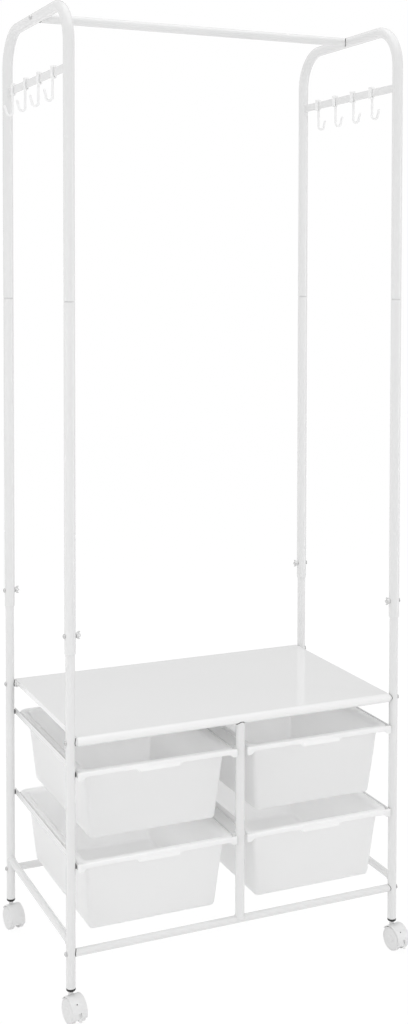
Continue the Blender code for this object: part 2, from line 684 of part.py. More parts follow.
def hood_shape(with_brake):
    """A caster hood about its swivel axis: a web with the stem in it and a shell over the wheels."""
    shell_outline = arc_points(HOOD_OUTER_R) + arc_points(HOOD_INNER_R)[::-1]
    shell = prism(shell_outline, "X", -CASTER_HALF_W, CASTER_HALF_W)
    hub_r = WHEEL_R * WEB_HUB_SHARE
    web_outline = arc_points(HOOD_OUTER_R - HOOD_SHELL / 2)
    web_outline += [
        (STEM_COLLAR_R + HOOD_SHELL, STEM_SEAT_Z - STEM_IN_HOOD - HOOD_SHELL),
        (-CASTER_TRAIL + hub_r, AXLE_Z - hub_r),
        (-CASTER_TRAIL - hub_r, AXLE_Z - hub_r),
    ]
    web = prism(web_outline, "X", -WEB_T / 2, WEB_T / 2)
    cutters = [rod("X", -WEB_T, WEB_T, AXLE_D / 2 + GAP, (0, -CASTER_TRAIL, AXLE_Z))]
    if with_brake:
        half = LEVER_W / 2 + GAP
        room = LEVER_HUB_D / 2 + GAP
        front = -CASTER_TRAIL - HOOD_OUTER_R - LEVER_T
        cutters.append(block((-half, front, 0), (half, PIVOT_Y + room, PIVOT_Z + room)))
        pivot = (0, PIVOT_Y, PIVOT_Z)
        cutters.append(rod("X", -WEB_T, WEB_T, LEVER_PIN_D / 2 + GAP, pivot, FASTENER_SIDES))
    return carved(fused(web, shell, stem_shape()), *cutters)


def wheel_pair_shape():
    """Two wheels fixed on one axle along x, about the axle's middle, standing on a flat facet."""
    near = WEB_T / 2 + WHEEL_GAP
    far = near + WHEEL_W
    rim = WHEEL_R - WHEEL_EDGE
    half = [(near, AXLE_D / 2), (near, rim), (near + WHEEL_EDGE, WHEEL_R)]
    half += [(far - WHEEL_EDGE, WHEEL_R), (far, rim)]
    rings = []
    for place, radius in [(-x, radius) for x, radius in half[::-1]] + half:
        ring = []
        for step in range(WHEEL_SIDES):
            turn = 2 * math.pi * (step + 0.5) / WHEEL_SIDES - math.pi / 2
            ring.append(Vector((place, radius * math.cos(turn), radius * math.sin(turn))))
        rings.append(ring)
    return skin(rings)


def lever_shape():
    """A brake lever about its pivot: a hub with two trunnions and a tab that dips to the front."""
    hub_r = LEVER_HUB_D / 2
    pin_r = LEVER_PIN_D / 2
    half = LEVER_W / 2
    tip = WEB_T / 2 - GAP
    profile = [(-tip, pin_r), (-half, pin_r), (-half, hub_r), (half, hub_r), (half, pin_r), (tip, pin_r)]
    hub = turned(profile, "X", sides=FASTENER_SIDES)
    ahead = Vector((0, -math.cos(LEVER_DIP), -math.sin(LEVER_DIP)))
    above = Vector((0, -math.sin(LEVER_DIP), math.cos(LEVER_DIP)))
    lift = LEVER_T / 2 * above
    rings = []
    for place in (0, LEVER_LENGTH):
        corners = ((-half, -1), (half, -1), (half, 1), (-half, 1))
        rings.append([Vector((x, 0, 0)) + place * ahead + way * lift for x, way in corners])
    return fused(hub, skin(rings))


def socket_shape():
    """A caster socket below a post's foot at z = 0: a neck inside the post, a rim and a tapered tip."""
    neck_r = POST_BORE_R - GAP
    bore = STEM_R + GAP
    profile = [(SOCKET_DEPTH, bore), (SOCKET_DEPTH, neck_r), (-GAP, neck_r), (-GAP, POST_R)]
    profile += [(-GAP - SOCKET_RIM, POST_R), (-SOCKET_LOW, SOCKET_TIP_D / 2), (-SOCKET_LOW, bore)]
    return turned(profile, "Z", hollow=True)


def stem_shape():
    """A steel stem that stands in the hood, with a collar where it leaves the hood's top."""
    low = STEM_SEAT_Z - STEM_IN_HOOD
    collar_low = STEM_SEAT_Z - STEM_IN_HOOD / 2
    collar_top = STEM_SEAT_Z + STEM_COLLAR_RISE
    top = POST_FOOT_Z + SOCKET_DEPTH - GAP
    profile = [(low, STEM_R), (collar_low, STEM_R), (collar_low, STEM_COLLAR_R)]
    profile += [(collar_top, STEM_COLLAR_R), (collar_top, STEM_R), (top, STEM_R)]
    return turned(profile, "Z")


def build_casters(rack, black, plastic, tread):
    """Four swivel casters with twin wheels in the post feet; the front pair carries brake levers."""
    for corner, (side, depth) in CORNERS.items():
        x, y = side * POST_X, depth * POST_Y
        add_object(f"{corner}_caster_socket", socket_shape(), black, rack, (x, y, POST_FOOT_Z))
        braked = depth < 0
        shape = hood_shape(braked)
        hood = add_object(f"{corner}_caster_hood", shape, plastic, rack, (x, y, 0), CASTER_SWIVEL)
        axle = (0, -CASTER_TRAIL, AXLE_Z)
        add_object(f"{corner}_caster_wheels", wheel_pair_shape(), tread, hood, axle)
        if braked:
            add_object(f"{corner}_brake_lever", lever_shape(), plastic, hood, (0, PIVOT_Y, PIVOT_Z))


def main():
    """Builds the whole rack."""
    clear_scene()
    paint = make_material("white_powder_coat", (0.86, 0.86, 0.86), 0.35)
    sheet = make_material("white_gloss_sheet", (0.88, 0.88, 0.88), 0.18)
    plastic = make_material("white_plastic", (0.87, 0.87, 0.87), 0.42)
    tread = make_material("pale_grey_plastic", (0.72, 0.72, 0.72), 0.5)
    black = make_material("black_plastic", (0.03, 0.03, 0.03), 0.5)
    steel = make_material("zinc_steel", (0.62, 0.62, 0.62), 0.35, 1.0)
    rack = add_empty("rack", (0, ORIGIN_SHIFT_Y, 0))
    build_hoops(rack, paint)
    build_uprights(rack, paint)
    build_side_frames(rack, paint)
    build_wing_bolts(rack, steel)
    build_bolts(rack, steel)
    build_cross_tubes(rack, paint)
    build_bottom_tees(rack, paint)
    build_hooks(rack, plastic)
    build_shelf(rack, sheet)
    build_runners(rack, paint)
    build_bins(rack, plastic)
    build_casters(rack, black, plastic, tread)


main()
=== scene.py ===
"""Looks of a white rolling clothes rack with a shelf, side hooks and pull-out bins.

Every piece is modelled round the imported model, in metres, with +Z up and the front at -Y.
"""
import logging
import math
from collections.abc import Callable, Sequence
from dataclasses import dataclass
from enum import Enum

import bmesh
import bpy
from mathutils import Matrix, Vector


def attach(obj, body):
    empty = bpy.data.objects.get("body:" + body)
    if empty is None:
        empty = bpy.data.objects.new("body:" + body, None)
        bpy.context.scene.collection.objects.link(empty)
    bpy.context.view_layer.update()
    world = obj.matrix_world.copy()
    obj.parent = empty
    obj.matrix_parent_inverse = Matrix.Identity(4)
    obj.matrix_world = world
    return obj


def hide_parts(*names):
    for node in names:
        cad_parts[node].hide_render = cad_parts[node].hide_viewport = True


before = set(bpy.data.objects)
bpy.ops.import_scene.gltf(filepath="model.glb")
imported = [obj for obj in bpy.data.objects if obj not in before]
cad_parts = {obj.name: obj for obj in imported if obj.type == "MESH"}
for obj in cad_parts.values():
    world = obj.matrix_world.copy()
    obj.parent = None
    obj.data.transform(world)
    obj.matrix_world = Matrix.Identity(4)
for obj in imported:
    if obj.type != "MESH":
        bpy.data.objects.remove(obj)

LOG = logging.getLogger("rack")
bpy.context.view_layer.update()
PHOTO_SIZE = (408, 1024)
BASE_BODY = "frame"
Point = Sequence[float]

# Facets round large and small turned pieces
ROUND_SIDES = 48
SMALL_SIDES = 32
# Places closer than this are one
SAME = 1e-6
NEAR = 1e-5
# Clearance that keeps faces from lying in one plane
HAIR = 0.0001
# Edges sharper than this stay sharp when a piece is shaded
CREASE_DEGREES = 32.0


class Axis(Enum):
    """Main directions that turned pieces lie along."""

    X = "X"
    Y = "Y"
    Z = "Z"

    def turn(self) -> Matrix:
        """Rotation that takes +Z to this axis.

        Returns:
            The rotation, as a 4 x 4 matrix.
        """
        if self is Axis.X:
            return Matrix.Rotation(math.pi / 2, 4, "Y")
        if self is Axis.Y:
            return Matrix.Rotation(-math.pi / 2, 4, "X")
        return Matrix.Identity(4)


class Where(Enum):
    """A place on the rack that is part of its pieces' names."""

    @property
    def word(self) -> str:
        """Plain name of the place."""
        return self.name.lower()


class Side(Where):
    """The rack's two sides, as seen from the front."""

    LEFT = -1
    RIGHT = 1


class Depth(Where):
    """Front or rear of the rack."""

    FRONT = -1
    REAR = 1


class Tier(Where):
    """The two levels of bins, counted from the top."""

    UPPER = 0
    LOWER = 1


class Joining(Enum):
    """Ways in which a solid tool changes a piece."""

    CUT = "DIFFERENCE"
    KEEP = "INTERSECT"
    WELD = "UNION"


@dataclass(frozen=True)
class Plan:
    """Main places of the rack, shared by all its sub-assemblies."""

    post_x: float = 0.310
    post_y: float = 0.180
    shift_y: float = 0.013516
    gap: float = 0.0003
    upper_r: float = 0.0095
    upper_wall: float = 0.0012
    post_r: float = 0.0080
    cross_r: float = 0.0065
    rod_r: float = 0.0080
    mid_r: float = 0.0082
    hoop_top: float = 1.680
    seam_z: float = 1.192
    sleeve_z: float = 0.612
    wing_z: float = 0.642
    post_top: float = 0.697
    post_foot: float = 0.051994
    shelf_z: float = 0.464
    bottom_z: float = 0.110
    rail_z: float = 0.128
    hook_bar_z: float = 1.573
    hook_bar_h: float = 0.014
    hook_bar_t: float = 0.003
    rim_z: float = 0.415
    tier_pitch: float = 0.154
    plug: float = 0.0010
    curl_r: float = 0.0080

    def y(self, depth: Depth) -> float:
        """Post axis at the front or the rear."""
        return self.shift_y + depth.value * self.post_y

    def x(self, side: Side) -> float:
        """Post axis on one side."""
        return side.value * self.post_x

    def rim(self, tier: Tier) -> float:
        """Height of the bins' rims on one level."""
        return self.rim_z - tier.value * self.tier_pitch


PLAN = Plan()
CORNERS = [(side, depth) for depth in Depth for side in Side]


def corner_word(side: Side, depth: Depth) -> str:
    """Plain name of a corner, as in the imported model."""
    return f"{depth.word}_{side.word}"


def arc(
    centre: tuple[float, float], radius: float, first: float, last: float, steps: int
) -> list[tuple[float, float]]:
    """Places on an arc of a section.

    Args:
        centre: middle of the arc.
        radius: its radius.
        first: angle of its first place, in degrees.
        last: angle of its last place.
        steps: number of facets.

    Returns:
        The places in order, both ends included.
    """
    rows = []
    for step in range(steps + 1):
        turn = math.radians(first + (last - first) * step / steps)
        rows.append((centre[0] + radius * math.cos(turn), centre[1] + radius * math.sin(turn)))
    return rows


def eased_rod(radius: float, low: float, high: float, edge: float) -> list[tuple[float, float]]:
    """Profile of a round rod with eased rims.

    Args:
        radius: radius of the rod.
        low: height of its lower end.
        high: height of its upper end.
        edge: width of the eased rims.

    Returns:
        Radius and height of each point.
    """
    inner = radius - edge
    profile = [(0.0, low), (inner, low), (radius, low + edge)]
    return profile + [(radius, high - edge), (inner, high), (0.0, high)]


@dataclass(frozen=True)
class Run:
    """A straight pull along a path."""

    by: Point


@dataclass(frozen=True)
class Bend:
    """A bend of a path about a centre."""

    centre: Point
    axis: Point
    degrees: float
    steps: int = 12


class Bench:
    """Modelling by hand with Blender's operators; every result lies in the rack's frame."""

    @staticmethod
    def take(item: bpy.types.Object) -> None:
        """Selects one object alone and makes it active.

        Args:
            item: the object.
        """
        bpy.ops.object.select_all(action="DESELECT")
        item.select_set(True)
        bpy.context.view_layer.objects.active = item

    @staticmethod
    def named(name: str) -> bpy.types.Object:
        """Names the object that a primitive operator has just added, with its place in its mesh.

        Args:
            name: name of the object and its mesh.

        Returns:
            The object.
        """
        item = bpy.context.active_object
        item.name = name
        item.data.name = name
        bpy.ops.object.transform_apply(location=True, rotation=True, scale=True)
        return item

    @staticmethod
    def edit(item: bpy.types.Object) -> None:
        """Opens a piece for shaping, with everything selected.

        Args:
            item: the piece.
        """
        Bench.take(item)
        bpy.ops.object.mode_set(mode="EDIT")
        bpy.ops.mesh.select_mode(type="VERT")
        bpy.ops.mesh.select_all(action="SELECT")

    @staticmethod
    def done(recalculate: bool = True) -> None:
        """Closes the shaping; merges doubles and turns all faces outwards first if asked.

        Args:
            recalculate: whether doubles and faces are put right.
        """
        if recalculate:
            bpy.ops.mesh.select_all(action="SELECT")
            bpy.ops.mesh.remove_doubles(threshold=SAME)
            bpy.ops.mesh.normals_make_consistent(inside=False)
        bpy.ops.object.mode_set(mode="OBJECT")

    @staticmethod
    def pick(item: bpy.types.Object, kind: str, test: Callable[[list[Vector]], bool]) -> None:
        """Selects, while shaping, the elements whose corners pass a test.

        Args:
            item: piece that is open for shaping.
            kind: VERT, EDGE or FACE.
            test: gets the places of an element's corners.
        """
        bpy.ops.mesh.select_all(action="DESELECT")
        bpy.ops.mesh.select_mode(type=kind)
        mesh = bmesh.from_edit_mesh(item.data)
        if kind == "VERT":
            chosen = [vert for vert in mesh.verts if test([vert.co])]
        else:
            elements = mesh.edges if kind == "EDGE" else mesh.faces
            chosen = [element for element in elements if test([vert.co for vert in element.verts])]
        for element in chosen:
            element.select_set(True)
        mesh.select_flush_mode()
        bmesh.update_edit_mesh(item.data)

    @staticmethod
    def pull(by: Point) -> None:
        """Extrudes what is selected."""
        bpy.ops.mesh.extrude_region_move(TRANSFORM_OT_translate={"value": tuple(by)})

    @staticmethod
    def seed(name: str, start: Point) -> bpy.types.Object:
        """A single point, open for shaping: a small plane merged to its centre and moved.

        Args:
            name: name of the piece.
            start: place of the point.

        Returns:
            The piece, open for shaping.
        """
        bpy.ops.object.select_all(action="DESELECT")
        bpy.ops.mesh.primitive_plane_add(location=(0, 0, 0))
        item = Bench.named(name)
        Bench.edit(item)
        bpy.ops.mesh.merge(type="CENTER")
        bpy.ops.transform.translate(value=tuple(start))
        return item

    @staticmethod
    def draw(points: Sequence[Point]) -> None:
        """Pulls the selected point from place to place.

        Args:
            points: the places, from where the point is.
        """
        for before, after in zip(points, points[1:]):
            by = tuple(b - a for a, b in zip(before, after))
            bpy.ops.mesh.extrude_vertices_move(TRANSFORM_OT_translate={"value": by})

    @staticmethod
    def follow(moves: Sequence[Run | Bend]) -> None:
        """Pulls the selected point or ring along straight runs and bends.

        Args:
            moves: the moves in order.
        """
        for move in moves:
            if isinstance(move, Run):
                Bench.pull(move.by)
            else:
                bpy.ops.mesh.spin(
                    steps=move.steps,
                    angle=-math.radians(move.degrees),
                    center=tuple(move.centre),
                    axis=tuple(move.axis),
                )

    @staticmethod
    def lathe(
        name: str, profile: Sequence[tuple[float, float]], steps: int = ROUND_SIDES
    ) -> bpy.types.Object:
        """Turns a profile about +Z.

        Args:
            name: name of the piece.
            profile: radius and height of each point, from end to end.
            steps: facets round the axis.

        Returns:
            The closed piece, about the origin.
        """
        points = [(radius, 0.0, height) for radius, height in profile]
        item = Bench.seed(name, points[0])
        Bench.draw(points)
        bpy.ops.mesh.select_all(action="SELECT")
        bpy.ops.mesh.spin(steps=steps, angle=2 * math.pi, center=(0, 0, 0), axis=(0, 0, 1))
        Bench.done()
        return item

    @staticmethod
    def bent_bar(
        name: str, radius: float, start: Point, moves: Sequence[Run | Bend], sides: int
    ) -> bpy.types.Object:
        """A round bar that starts upright and follows a path, closed at both ends.

        Args:
            name: name of the piece.
            radius: radius of the bar.
            start: middle of its first end.
            moves: runs and bends of its path.
            sides: facets round the bar.

        Returns:
            The closed bar.
        """
        bpy.ops.object.select_all(action="DESELECT")
        bpy.ops.mesh.primitive_circle_add(vertices=sides, radius=radius, location=tuple(start))
        item = Bench.named(name)
        Bench.edit(item)
        Bench.follow(moves)
        bpy.ops.mesh.select_all(action="SELECT")
        bpy.ops.mesh.fill_holes(sides=0)
        Bench.done()
        return item

    @staticmethod
    def slab(name: str, low: Point, high: Point, edge: float = 0.0) -> bpy.types.Object:
        """A box between two corners with softened edges.

        Args:
            name: name of the piece.
            low: its lowest corner.
            high: its highest corner.
            edge: width of the softened edges, or 0.

        Returns:
            The box.
        """
        middle = [(a + b) / 2 for a, b in zip(low, high)]
        size = [b - a for a, b in zip(low, high)]
        bpy.ops.object.select_all(action="DESELECT")
        bpy.ops.mesh.primitive_cube_add(size=1, location=middle, scale=size)
        item = Bench.named(name)
        if edge:
            Bench.soften(item, edge)
        return item

    @staticmethod
    def outline_slab(name: str, outline: Sequence[Point], by: Point) -> bpy.types.Object:
        """A flat outline pulled to a thickness.

        Args:
            name: name of the piece.
            outline: corners in order, all in one plane.
            by: direction and thickness of the pull.

        Returns:
            The closed slab.
        """
        item = Bench.seed(name, outline[0])
        Bench.draw([*outline, outline[0]])
        Bench.face_over(by)
        return item

    @staticmethod
    def face_over(by: Point) -> None:
        """Closes the drawn line to a face, gives it thickness and ends the shaping.

        Args:
            by: direction and thickness of the pull.
        """
        bpy.ops.mesh.select_all(action="SELECT")
        bpy.ops.mesh.remove_doubles(threshold=SAME)
        bpy.ops.mesh.edge_face_add()
        bpy.ops.mesh.select_all(action="SELECT")
        Bench.pull(by)
        Bench.done()

    @staticmethod
    def cylinder(name: str, axis: Axis, centre: Point, radius: float, length: float) -> bpy.types.Object:
        """A plain round rod about a centre, the start of a tube or a cutting tool.

        Args:
            name: name of the piece.
            axis: direction of the rod.
            centre: its middle.
            radius: its radius.
            length: its length.

        Returns:
            The rod.
        """
        bpy.ops.object.select_all(action="DESELECT")
        bpy.ops.mesh.primitive_cylinder_add(
            vertices=ROUND_SIDES,
            radius=radius,
            depth=length,
            location=tuple(centre),
            rotation=axis.turn().to_euler(),
        )
        return Bench.named(name)

    @staticmethod
    def modify(item: bpy.types.Object, kind: str, **settings: object) -> None:
        """Adds a modifier, sets it and applies it.

        Args:
            item: the piece.
            kind: kind of modifier.
            settings: values of the modifier.
        """
        Bench.take(item)
        modifier = item.modifiers.new(kind.lower(), kind)
        for key, value in settings.items():
            setattr(modifier, key, value)
        bpy.ops.object.modifier_apply(modifier=modifier.name)

    @staticmethod
    def soften(item: bpy.types.Object, width: float, segments: int = 3, degrees: float = 30.0) -> None:
        """Rounds every edge that is sharper than an angle.

        Args:
            item: the piece.
            width: width of the rounding.
            segments: facets across it.
            degrees: least angle between the faces of an edge.
        """
        Bench.modify(
            item,
            "BEVEL",
            width=width,
            segments=segments,
            limit_method="ANGLE",
            angle_limit=math.radians(degrees),
        )

    @staticmethod
    def combine(item: bpy.types.Object, tool: bpy.types.Object, way: Joining) -> None:
        """Changes a piece by a solid tool, which is used up."""
        Bench.modify(item, "BOOLEAN", operation=way.value, solver="EXACT", object=tool)
        bpy.data.objects.remove(tool, do_unlink=True)

    @staticmethod
    def place(item: bpy.types.Object, matrix: Matrix) -> None:
        """Moves a piece and bakes its place into its mesh.

        Args:
            item: the piece.
            matrix: its new place.
        """
        Bench.take(item)
        item.matrix_world = matrix
        bpy.ops.object.transform_apply(location=True, rotation=True, scale=True)

    @staticmethod
    def copy(pattern: bpy.types.Object, name: str, matrix: Matrix) -> bpy.types.Object:
        """A copy of a pattern with a mesh of its own, at its place.

        Args:
            pattern: the piece to copy.
            name: name of the copy.
            matrix: place of the copy.

        Returns:
            The copy.
        """
        item = pattern.copy()
        item.data = pattern.data.copy()
        item.name = name
        item.data.name = name
        bpy.context.scene.collection.objects.link(item)
        Bench.place(item, matrix)
        return item

    @staticmethod
    def turn_up(item: bpy.types.Object, rank: Callable[[bmesh.types.BMFace], float]) -> None:
        """Turns an open sheet so that its first-ranked face looks up.

        Args:
            item: the sheet.
            rank: gives a face its rank, the highest first.
        """
        Bench.edit(item)
        mesh = bmesh.from_edit_mesh(item.data)
        if max(mesh.faces, key=rank).normal.z < 0:
            bpy.ops.mesh.flip_normals()
        Bench.done(recalculate=False)

    @staticmethod
    def discard(*items: bpy.types.Object) -> None:
        """Removes patterns that have been copied."""
        for item in items:
            bpy.data.objects.remove(item, do_unlink=True)


def math_node(tree: bpy.types.NodeTree, operation: str, *values: object) -> bpy.types.NodeSocket:
    """A math node fed by sockets or numbers.

    Args:
        tree: tree that gets the node.
        operation: what the node works out.
        values: a socket or a number for each input.

    Returns:
        The node's result.
    """
    node = tree.nodes.new("ShaderNodeMath")
    node.operation = operation
    for socket, value in zip(node.inputs, values):
        if isinstance(value, bpy.types.NodeSocket):
            tree.links.new(value, socket)
        else:
            socket.default_value = value
    return node.outputs[0]


class NodeGroups:
    """Shader node groups that several finishes share."""

    finer: float = 5.0
    mark_level: float = 0.55
    mark_gain: float = 4.0
    _made: dict[str, bpy.types.NodeTree] = {}

    @classmethod
    def _new(cls, name: str, inputs: dict[str, float], outputs: Sequence[str]) -> bpy.types.NodeTree:
        """An empty group with a vector input, number inputs and number outputs.

        Args:
            name: name of the group.
            inputs: number inputs and their usual values.
            outputs: number outputs.

        Returns:
            The group's tree.
        """
        tree = bpy.data.node_groups.new(name, "ShaderNodeTree")
        tree.interface.new_socket("Vector", in_out="INPUT", socket_type="NodeSocketVector")
        for key, value in inputs.items():
            socket = tree.interface.new_socket(key, in_out="INPUT", socket_type="NodeSocketFloat")
            socket.default_value = value
        for key in outputs:
            tree.interface.new_socket(key, in_out="OUTPUT", socket_type="NodeSocketFloat")
        cls._made[name] = tree
        return tree

    @staticmethod
    def _noise(
        tree: bpy.types.NodeTree, vector: bpy.types.NodeSocket, scale: bpy.types.NodeSocket, detail: float
    ) -> bpy.types.NodeSocket:
        """A noise pattern, from 0 to 1.

        Args:
            tree: tree that gets the node.
            vector: place on the surface.
            scale: fineness of the noise.
            detail: finer layers of the noise.

        Returns:
            The pattern's value.
        """
        node = tree.nodes.new("ShaderNodeTexNoise")
        node.inputs["Detail"].default_value = detail
        tree.links.new(vector, node.inputs["Vector"])
        tree.links.new(scale, node.inputs["Scale"])
        return node.outputs["Fac"]

    @classmethod
    def skin(cls) -> bpy.types.NodeTree:
        """Fine relief of a sprayed or moulded skin: a soft peel with a finer grain on it.

        Returns:
            The group, which is made once.
        """
        if "fine_skin" in cls._made:
            return cls._made["fine_skin"]
        tree = cls._new("fine_skin", {"Scale": 400.0, "Grain": 0.3}, ["Height"])
        given = tree.nodes.new("NodeGroupInput")
        result = tree.nodes.new("NodeGroupOutput")
        coarse = cls._noise(tree, given.outputs["Vector"], given.outputs["Scale"], detail=1.0)
        finer = math_node(tree, "MULTIPLY", given.outputs["Scale"], cls.finer)
        fine = cls._noise(tree, given.outputs["Vector"], finer, detail=2.0)
        grain = math_node(tree, "MULTIPLY", fine, given.outputs["Grain"])
        tree.links.new(math_node(tree, "ADD", coarse, grain), result.inputs["Height"])
        return tree

    @classmethod
    def tone(cls) -> bpy.types.NodeTree:
        """Slow drift of tone over a surface, with sparse handling marks that only dull the gloss.

        Returns:
            The group, which is made once.
        """
        if "soft_tone" in cls._made:
            return cls._made["soft_tone"]
        tree = cls._new("soft_tone", {"Drift": 9.0, "Marks": 60.0}, ["Tone", "Dulling"])
        given = tree.nodes.new("NodeGroupInput")
        result = tree.nodes.new("NodeGroupOutput")
        drift = cls._noise(tree, given.outputs["Vector"], given.outputs["Drift"], detail=3.0)
        marks = cls._noise(tree, given.outputs["Vector"], given.outputs["Marks"], detail=4.0)
        sparse = math_node(tree, "SUBTRACT", marks, cls.mark_level)
        lifted = math_node(tree, "MULTIPLY", sparse, cls.mark_gain)
        clamped = math_node(tree, "MINIMUM", math_node(tree, "MAXIMUM", lifted, 0.0), 1.0)
        tree.links.new(drift, result.inputs["Tone"])
        tree.links.new(clamped, result.inputs["Dulling"])
        return tree


@dataclass(frozen=True)
class Finish:
    """A surface: its slot in the record, its colours, its gloss and its relief."""

    slot: str
    light: tuple[float, float, float]
    deep: tuple[float, float, float]
    smooth: float
    dull: float
    metallic: float = 0.0
    coat: float = 0.0
    relief_scale: float = 400.0
    relief: float = 0.05
    grain: float = 0.3
    drift: float = 9.0
    specular: float = 0.5
    glow_depth: float = 0.0
    relief_depth: float = 0.0005

    def material(self) -> bpy.types.Material:
        """The finish as a node material, made once.

        Returns:
            The material.
        """
        found = bpy.data.materials.get(f"{self.slot}_finish")
        if found:
            return found
        material = bpy.data.materials.new(f"{self.slot}_finish")
        material.use_nodes = True
        tree = material.node_tree
        shader = tree.nodes["Principled BSDF"]
        shader.inputs["Metallic"].default_value = self.metallic
        shader.inputs["Coat Weight"].default_value = self.coat
        shader.inputs["Coat Roughness"].default_value = self.smooth / 2
        shader.inputs["Specular IOR Level"].default_value = self.specular
        if self.glow_depth:
            shader.inputs["Subsurface Weight"].default_value = 1.0
            shader.inputs["Subsurface Radius"].default_value = (self.glow_depth,) * 3
            shader.inputs["Subsurface Scale"].default_value = 1.0
        where = tree.nodes.new("ShaderNodeTexCoord").outputs["Object"]
        tone = self._group(tree, NodeGroups.tone(), where)
        tone.inputs["Drift"].default_value = self.drift
        colour = tree.nodes.new("ShaderNodeMix")
        colour.data_type = "RGBA"
        colour.inputs["A"].default_value = (*self.deep, 1.0)
        colour.inputs["B"].default_value = (*self.light, 1.0)
        tree.links.new(tone.outputs["Tone"], colour.inputs["Factor"])
        tree.links.new(colour.outputs["Result"], shader.inputs["Base Color"])
        gloss = tree.nodes.new("ShaderNodeMapRange")
        gloss.inputs["To Min"].default_value = self.smooth
        gloss.inputs["To Max"].default_value = self.dull
        tree.links.new(tone.outputs["Dulling"], gloss.inputs["Value"])
        tree.links.new(gloss.outputs["Result"], shader.inputs["Roughness"])
        skin = self._group(tree, NodeGroups.skin(), where)
        skin.inputs["Scale"].default_value = self.relief_scale
        skin.inputs["Grain"].default_value = self.grain
        bump = tree.nodes.new("ShaderNodeBump")
        bump.inputs["Strength"].default_value = self.relief
        bump.inputs["Distance"].default_value = self.relief_depth
        tree.links.new(skin.outputs["Height"], bump.inputs["Height"])
        tree.links.new(bump.outputs["Normal"], shader.inputs["Normal"])
        return material

    @staticmethod
    def _group(
        tree: bpy.types.NodeTree, group: bpy.types.NodeTree, where: bpy.types.NodeSocket
    ) -> bpy.types.ShaderNodeGroup:
        """Places a shared group in a material and feeds it the surface's place.

        Args:
            tree: tree of the material.
            group: tree of the group.
            where: place on the surface.

        Returns:
            The group's node.
        """
        node = tree.nodes.new("ShaderNodeGroup")
        node.node_tree = group
        tree.links.new(where, node.inputs["Vector"])
        return node


def grey(value: float) -> tuple[float, float, float]:
    """A neutral colour."""
    return (value, value, value)


POWDER_COAT = Finish("frame_paint", grey(0.83), grey(0.81), 0.22, 0.30, coat=0.3, relief=0.012)
GLOSS_SHEET = Finish("shelf_gloss", grey(0.92), grey(0.91), 0.05, 0.07, coat=0.3, relief=0.003)
BIN_PLASTIC = Finish(
    "bin_plastic", grey(0.992), grey(0.985), 0.42, 0.52, relief_scale=900.0, relief=0.04, glow_depth=0.006
)
HOOK_PLASTIC = Finish("hook_plastic", grey(0.95), grey(0.92), 0.25, 0.36, relief_scale=700.0)
CASTER_PLASTIC = Finish(
    "caster_plastic", grey(0.84), grey(0.81), 0.32, 0.45, relief_scale=800.0, relief=0.08
)
WHEEL_PLASTIC = Finish(
    "wheel_plastic", grey(0.82), grey(0.79), 0.38, 0.55, relief_scale=900.0, relief=0.1
)
# Black plastic of the caster sockets, post caps, end plugs and standoff pads; on the plugs and pads it also
# paints the shadow in the gaps of the joints
BLACK_PLASTIC_AND_GAP_SHADE = Finish(
    "black_plastic", grey(0.03), grey(0.02), 0.35, 0.5, relief_scale=800.0, relief=0.1
)
ZINC_STEEL = Finish(
    "zinc_steel",
    grey(0.74),
    grey(0.58),
    0.2,
    0.42,
    metallic=1.0,
    relief_scale=1500.0,
    relief=0.12,
    drift=120.0,
)


def fit(item: bpy.types.Object, body: str, finish: Finish, *nodes: str) -> bpy.types.Object:
    """Dresses a finished piece and hangs it on its body.

    Args:
        item: the piece, in place.
        body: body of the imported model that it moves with.
        finish: its surface.
        nodes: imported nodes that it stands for.

    Returns:
        The same piece.
    """
    Bench.take(item)
    bpy.ops.object.shade_smooth_by_angle(angle=math.radians(CREASE_DEGREES))
    item.data.materials.clear()
    item.data.materials.append(finish.material())
    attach(item, body)
    if nodes:
        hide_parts(*nodes)
    LOG.info("%s: %d faces on %s", item.name, len(item.data.polygons), body)
    return item


def at(x: float, y: float, z: float) -> Matrix:
    """A plain move."""
    return Matrix.Translation((x, y, z))


def side_turn(side: Side) -> Matrix:
    """Half a turn for pieces whose outside faces left."""
    return Matrix.Rotation(0.0 if side is Side.RIGHT else math.pi, 4, "Z")


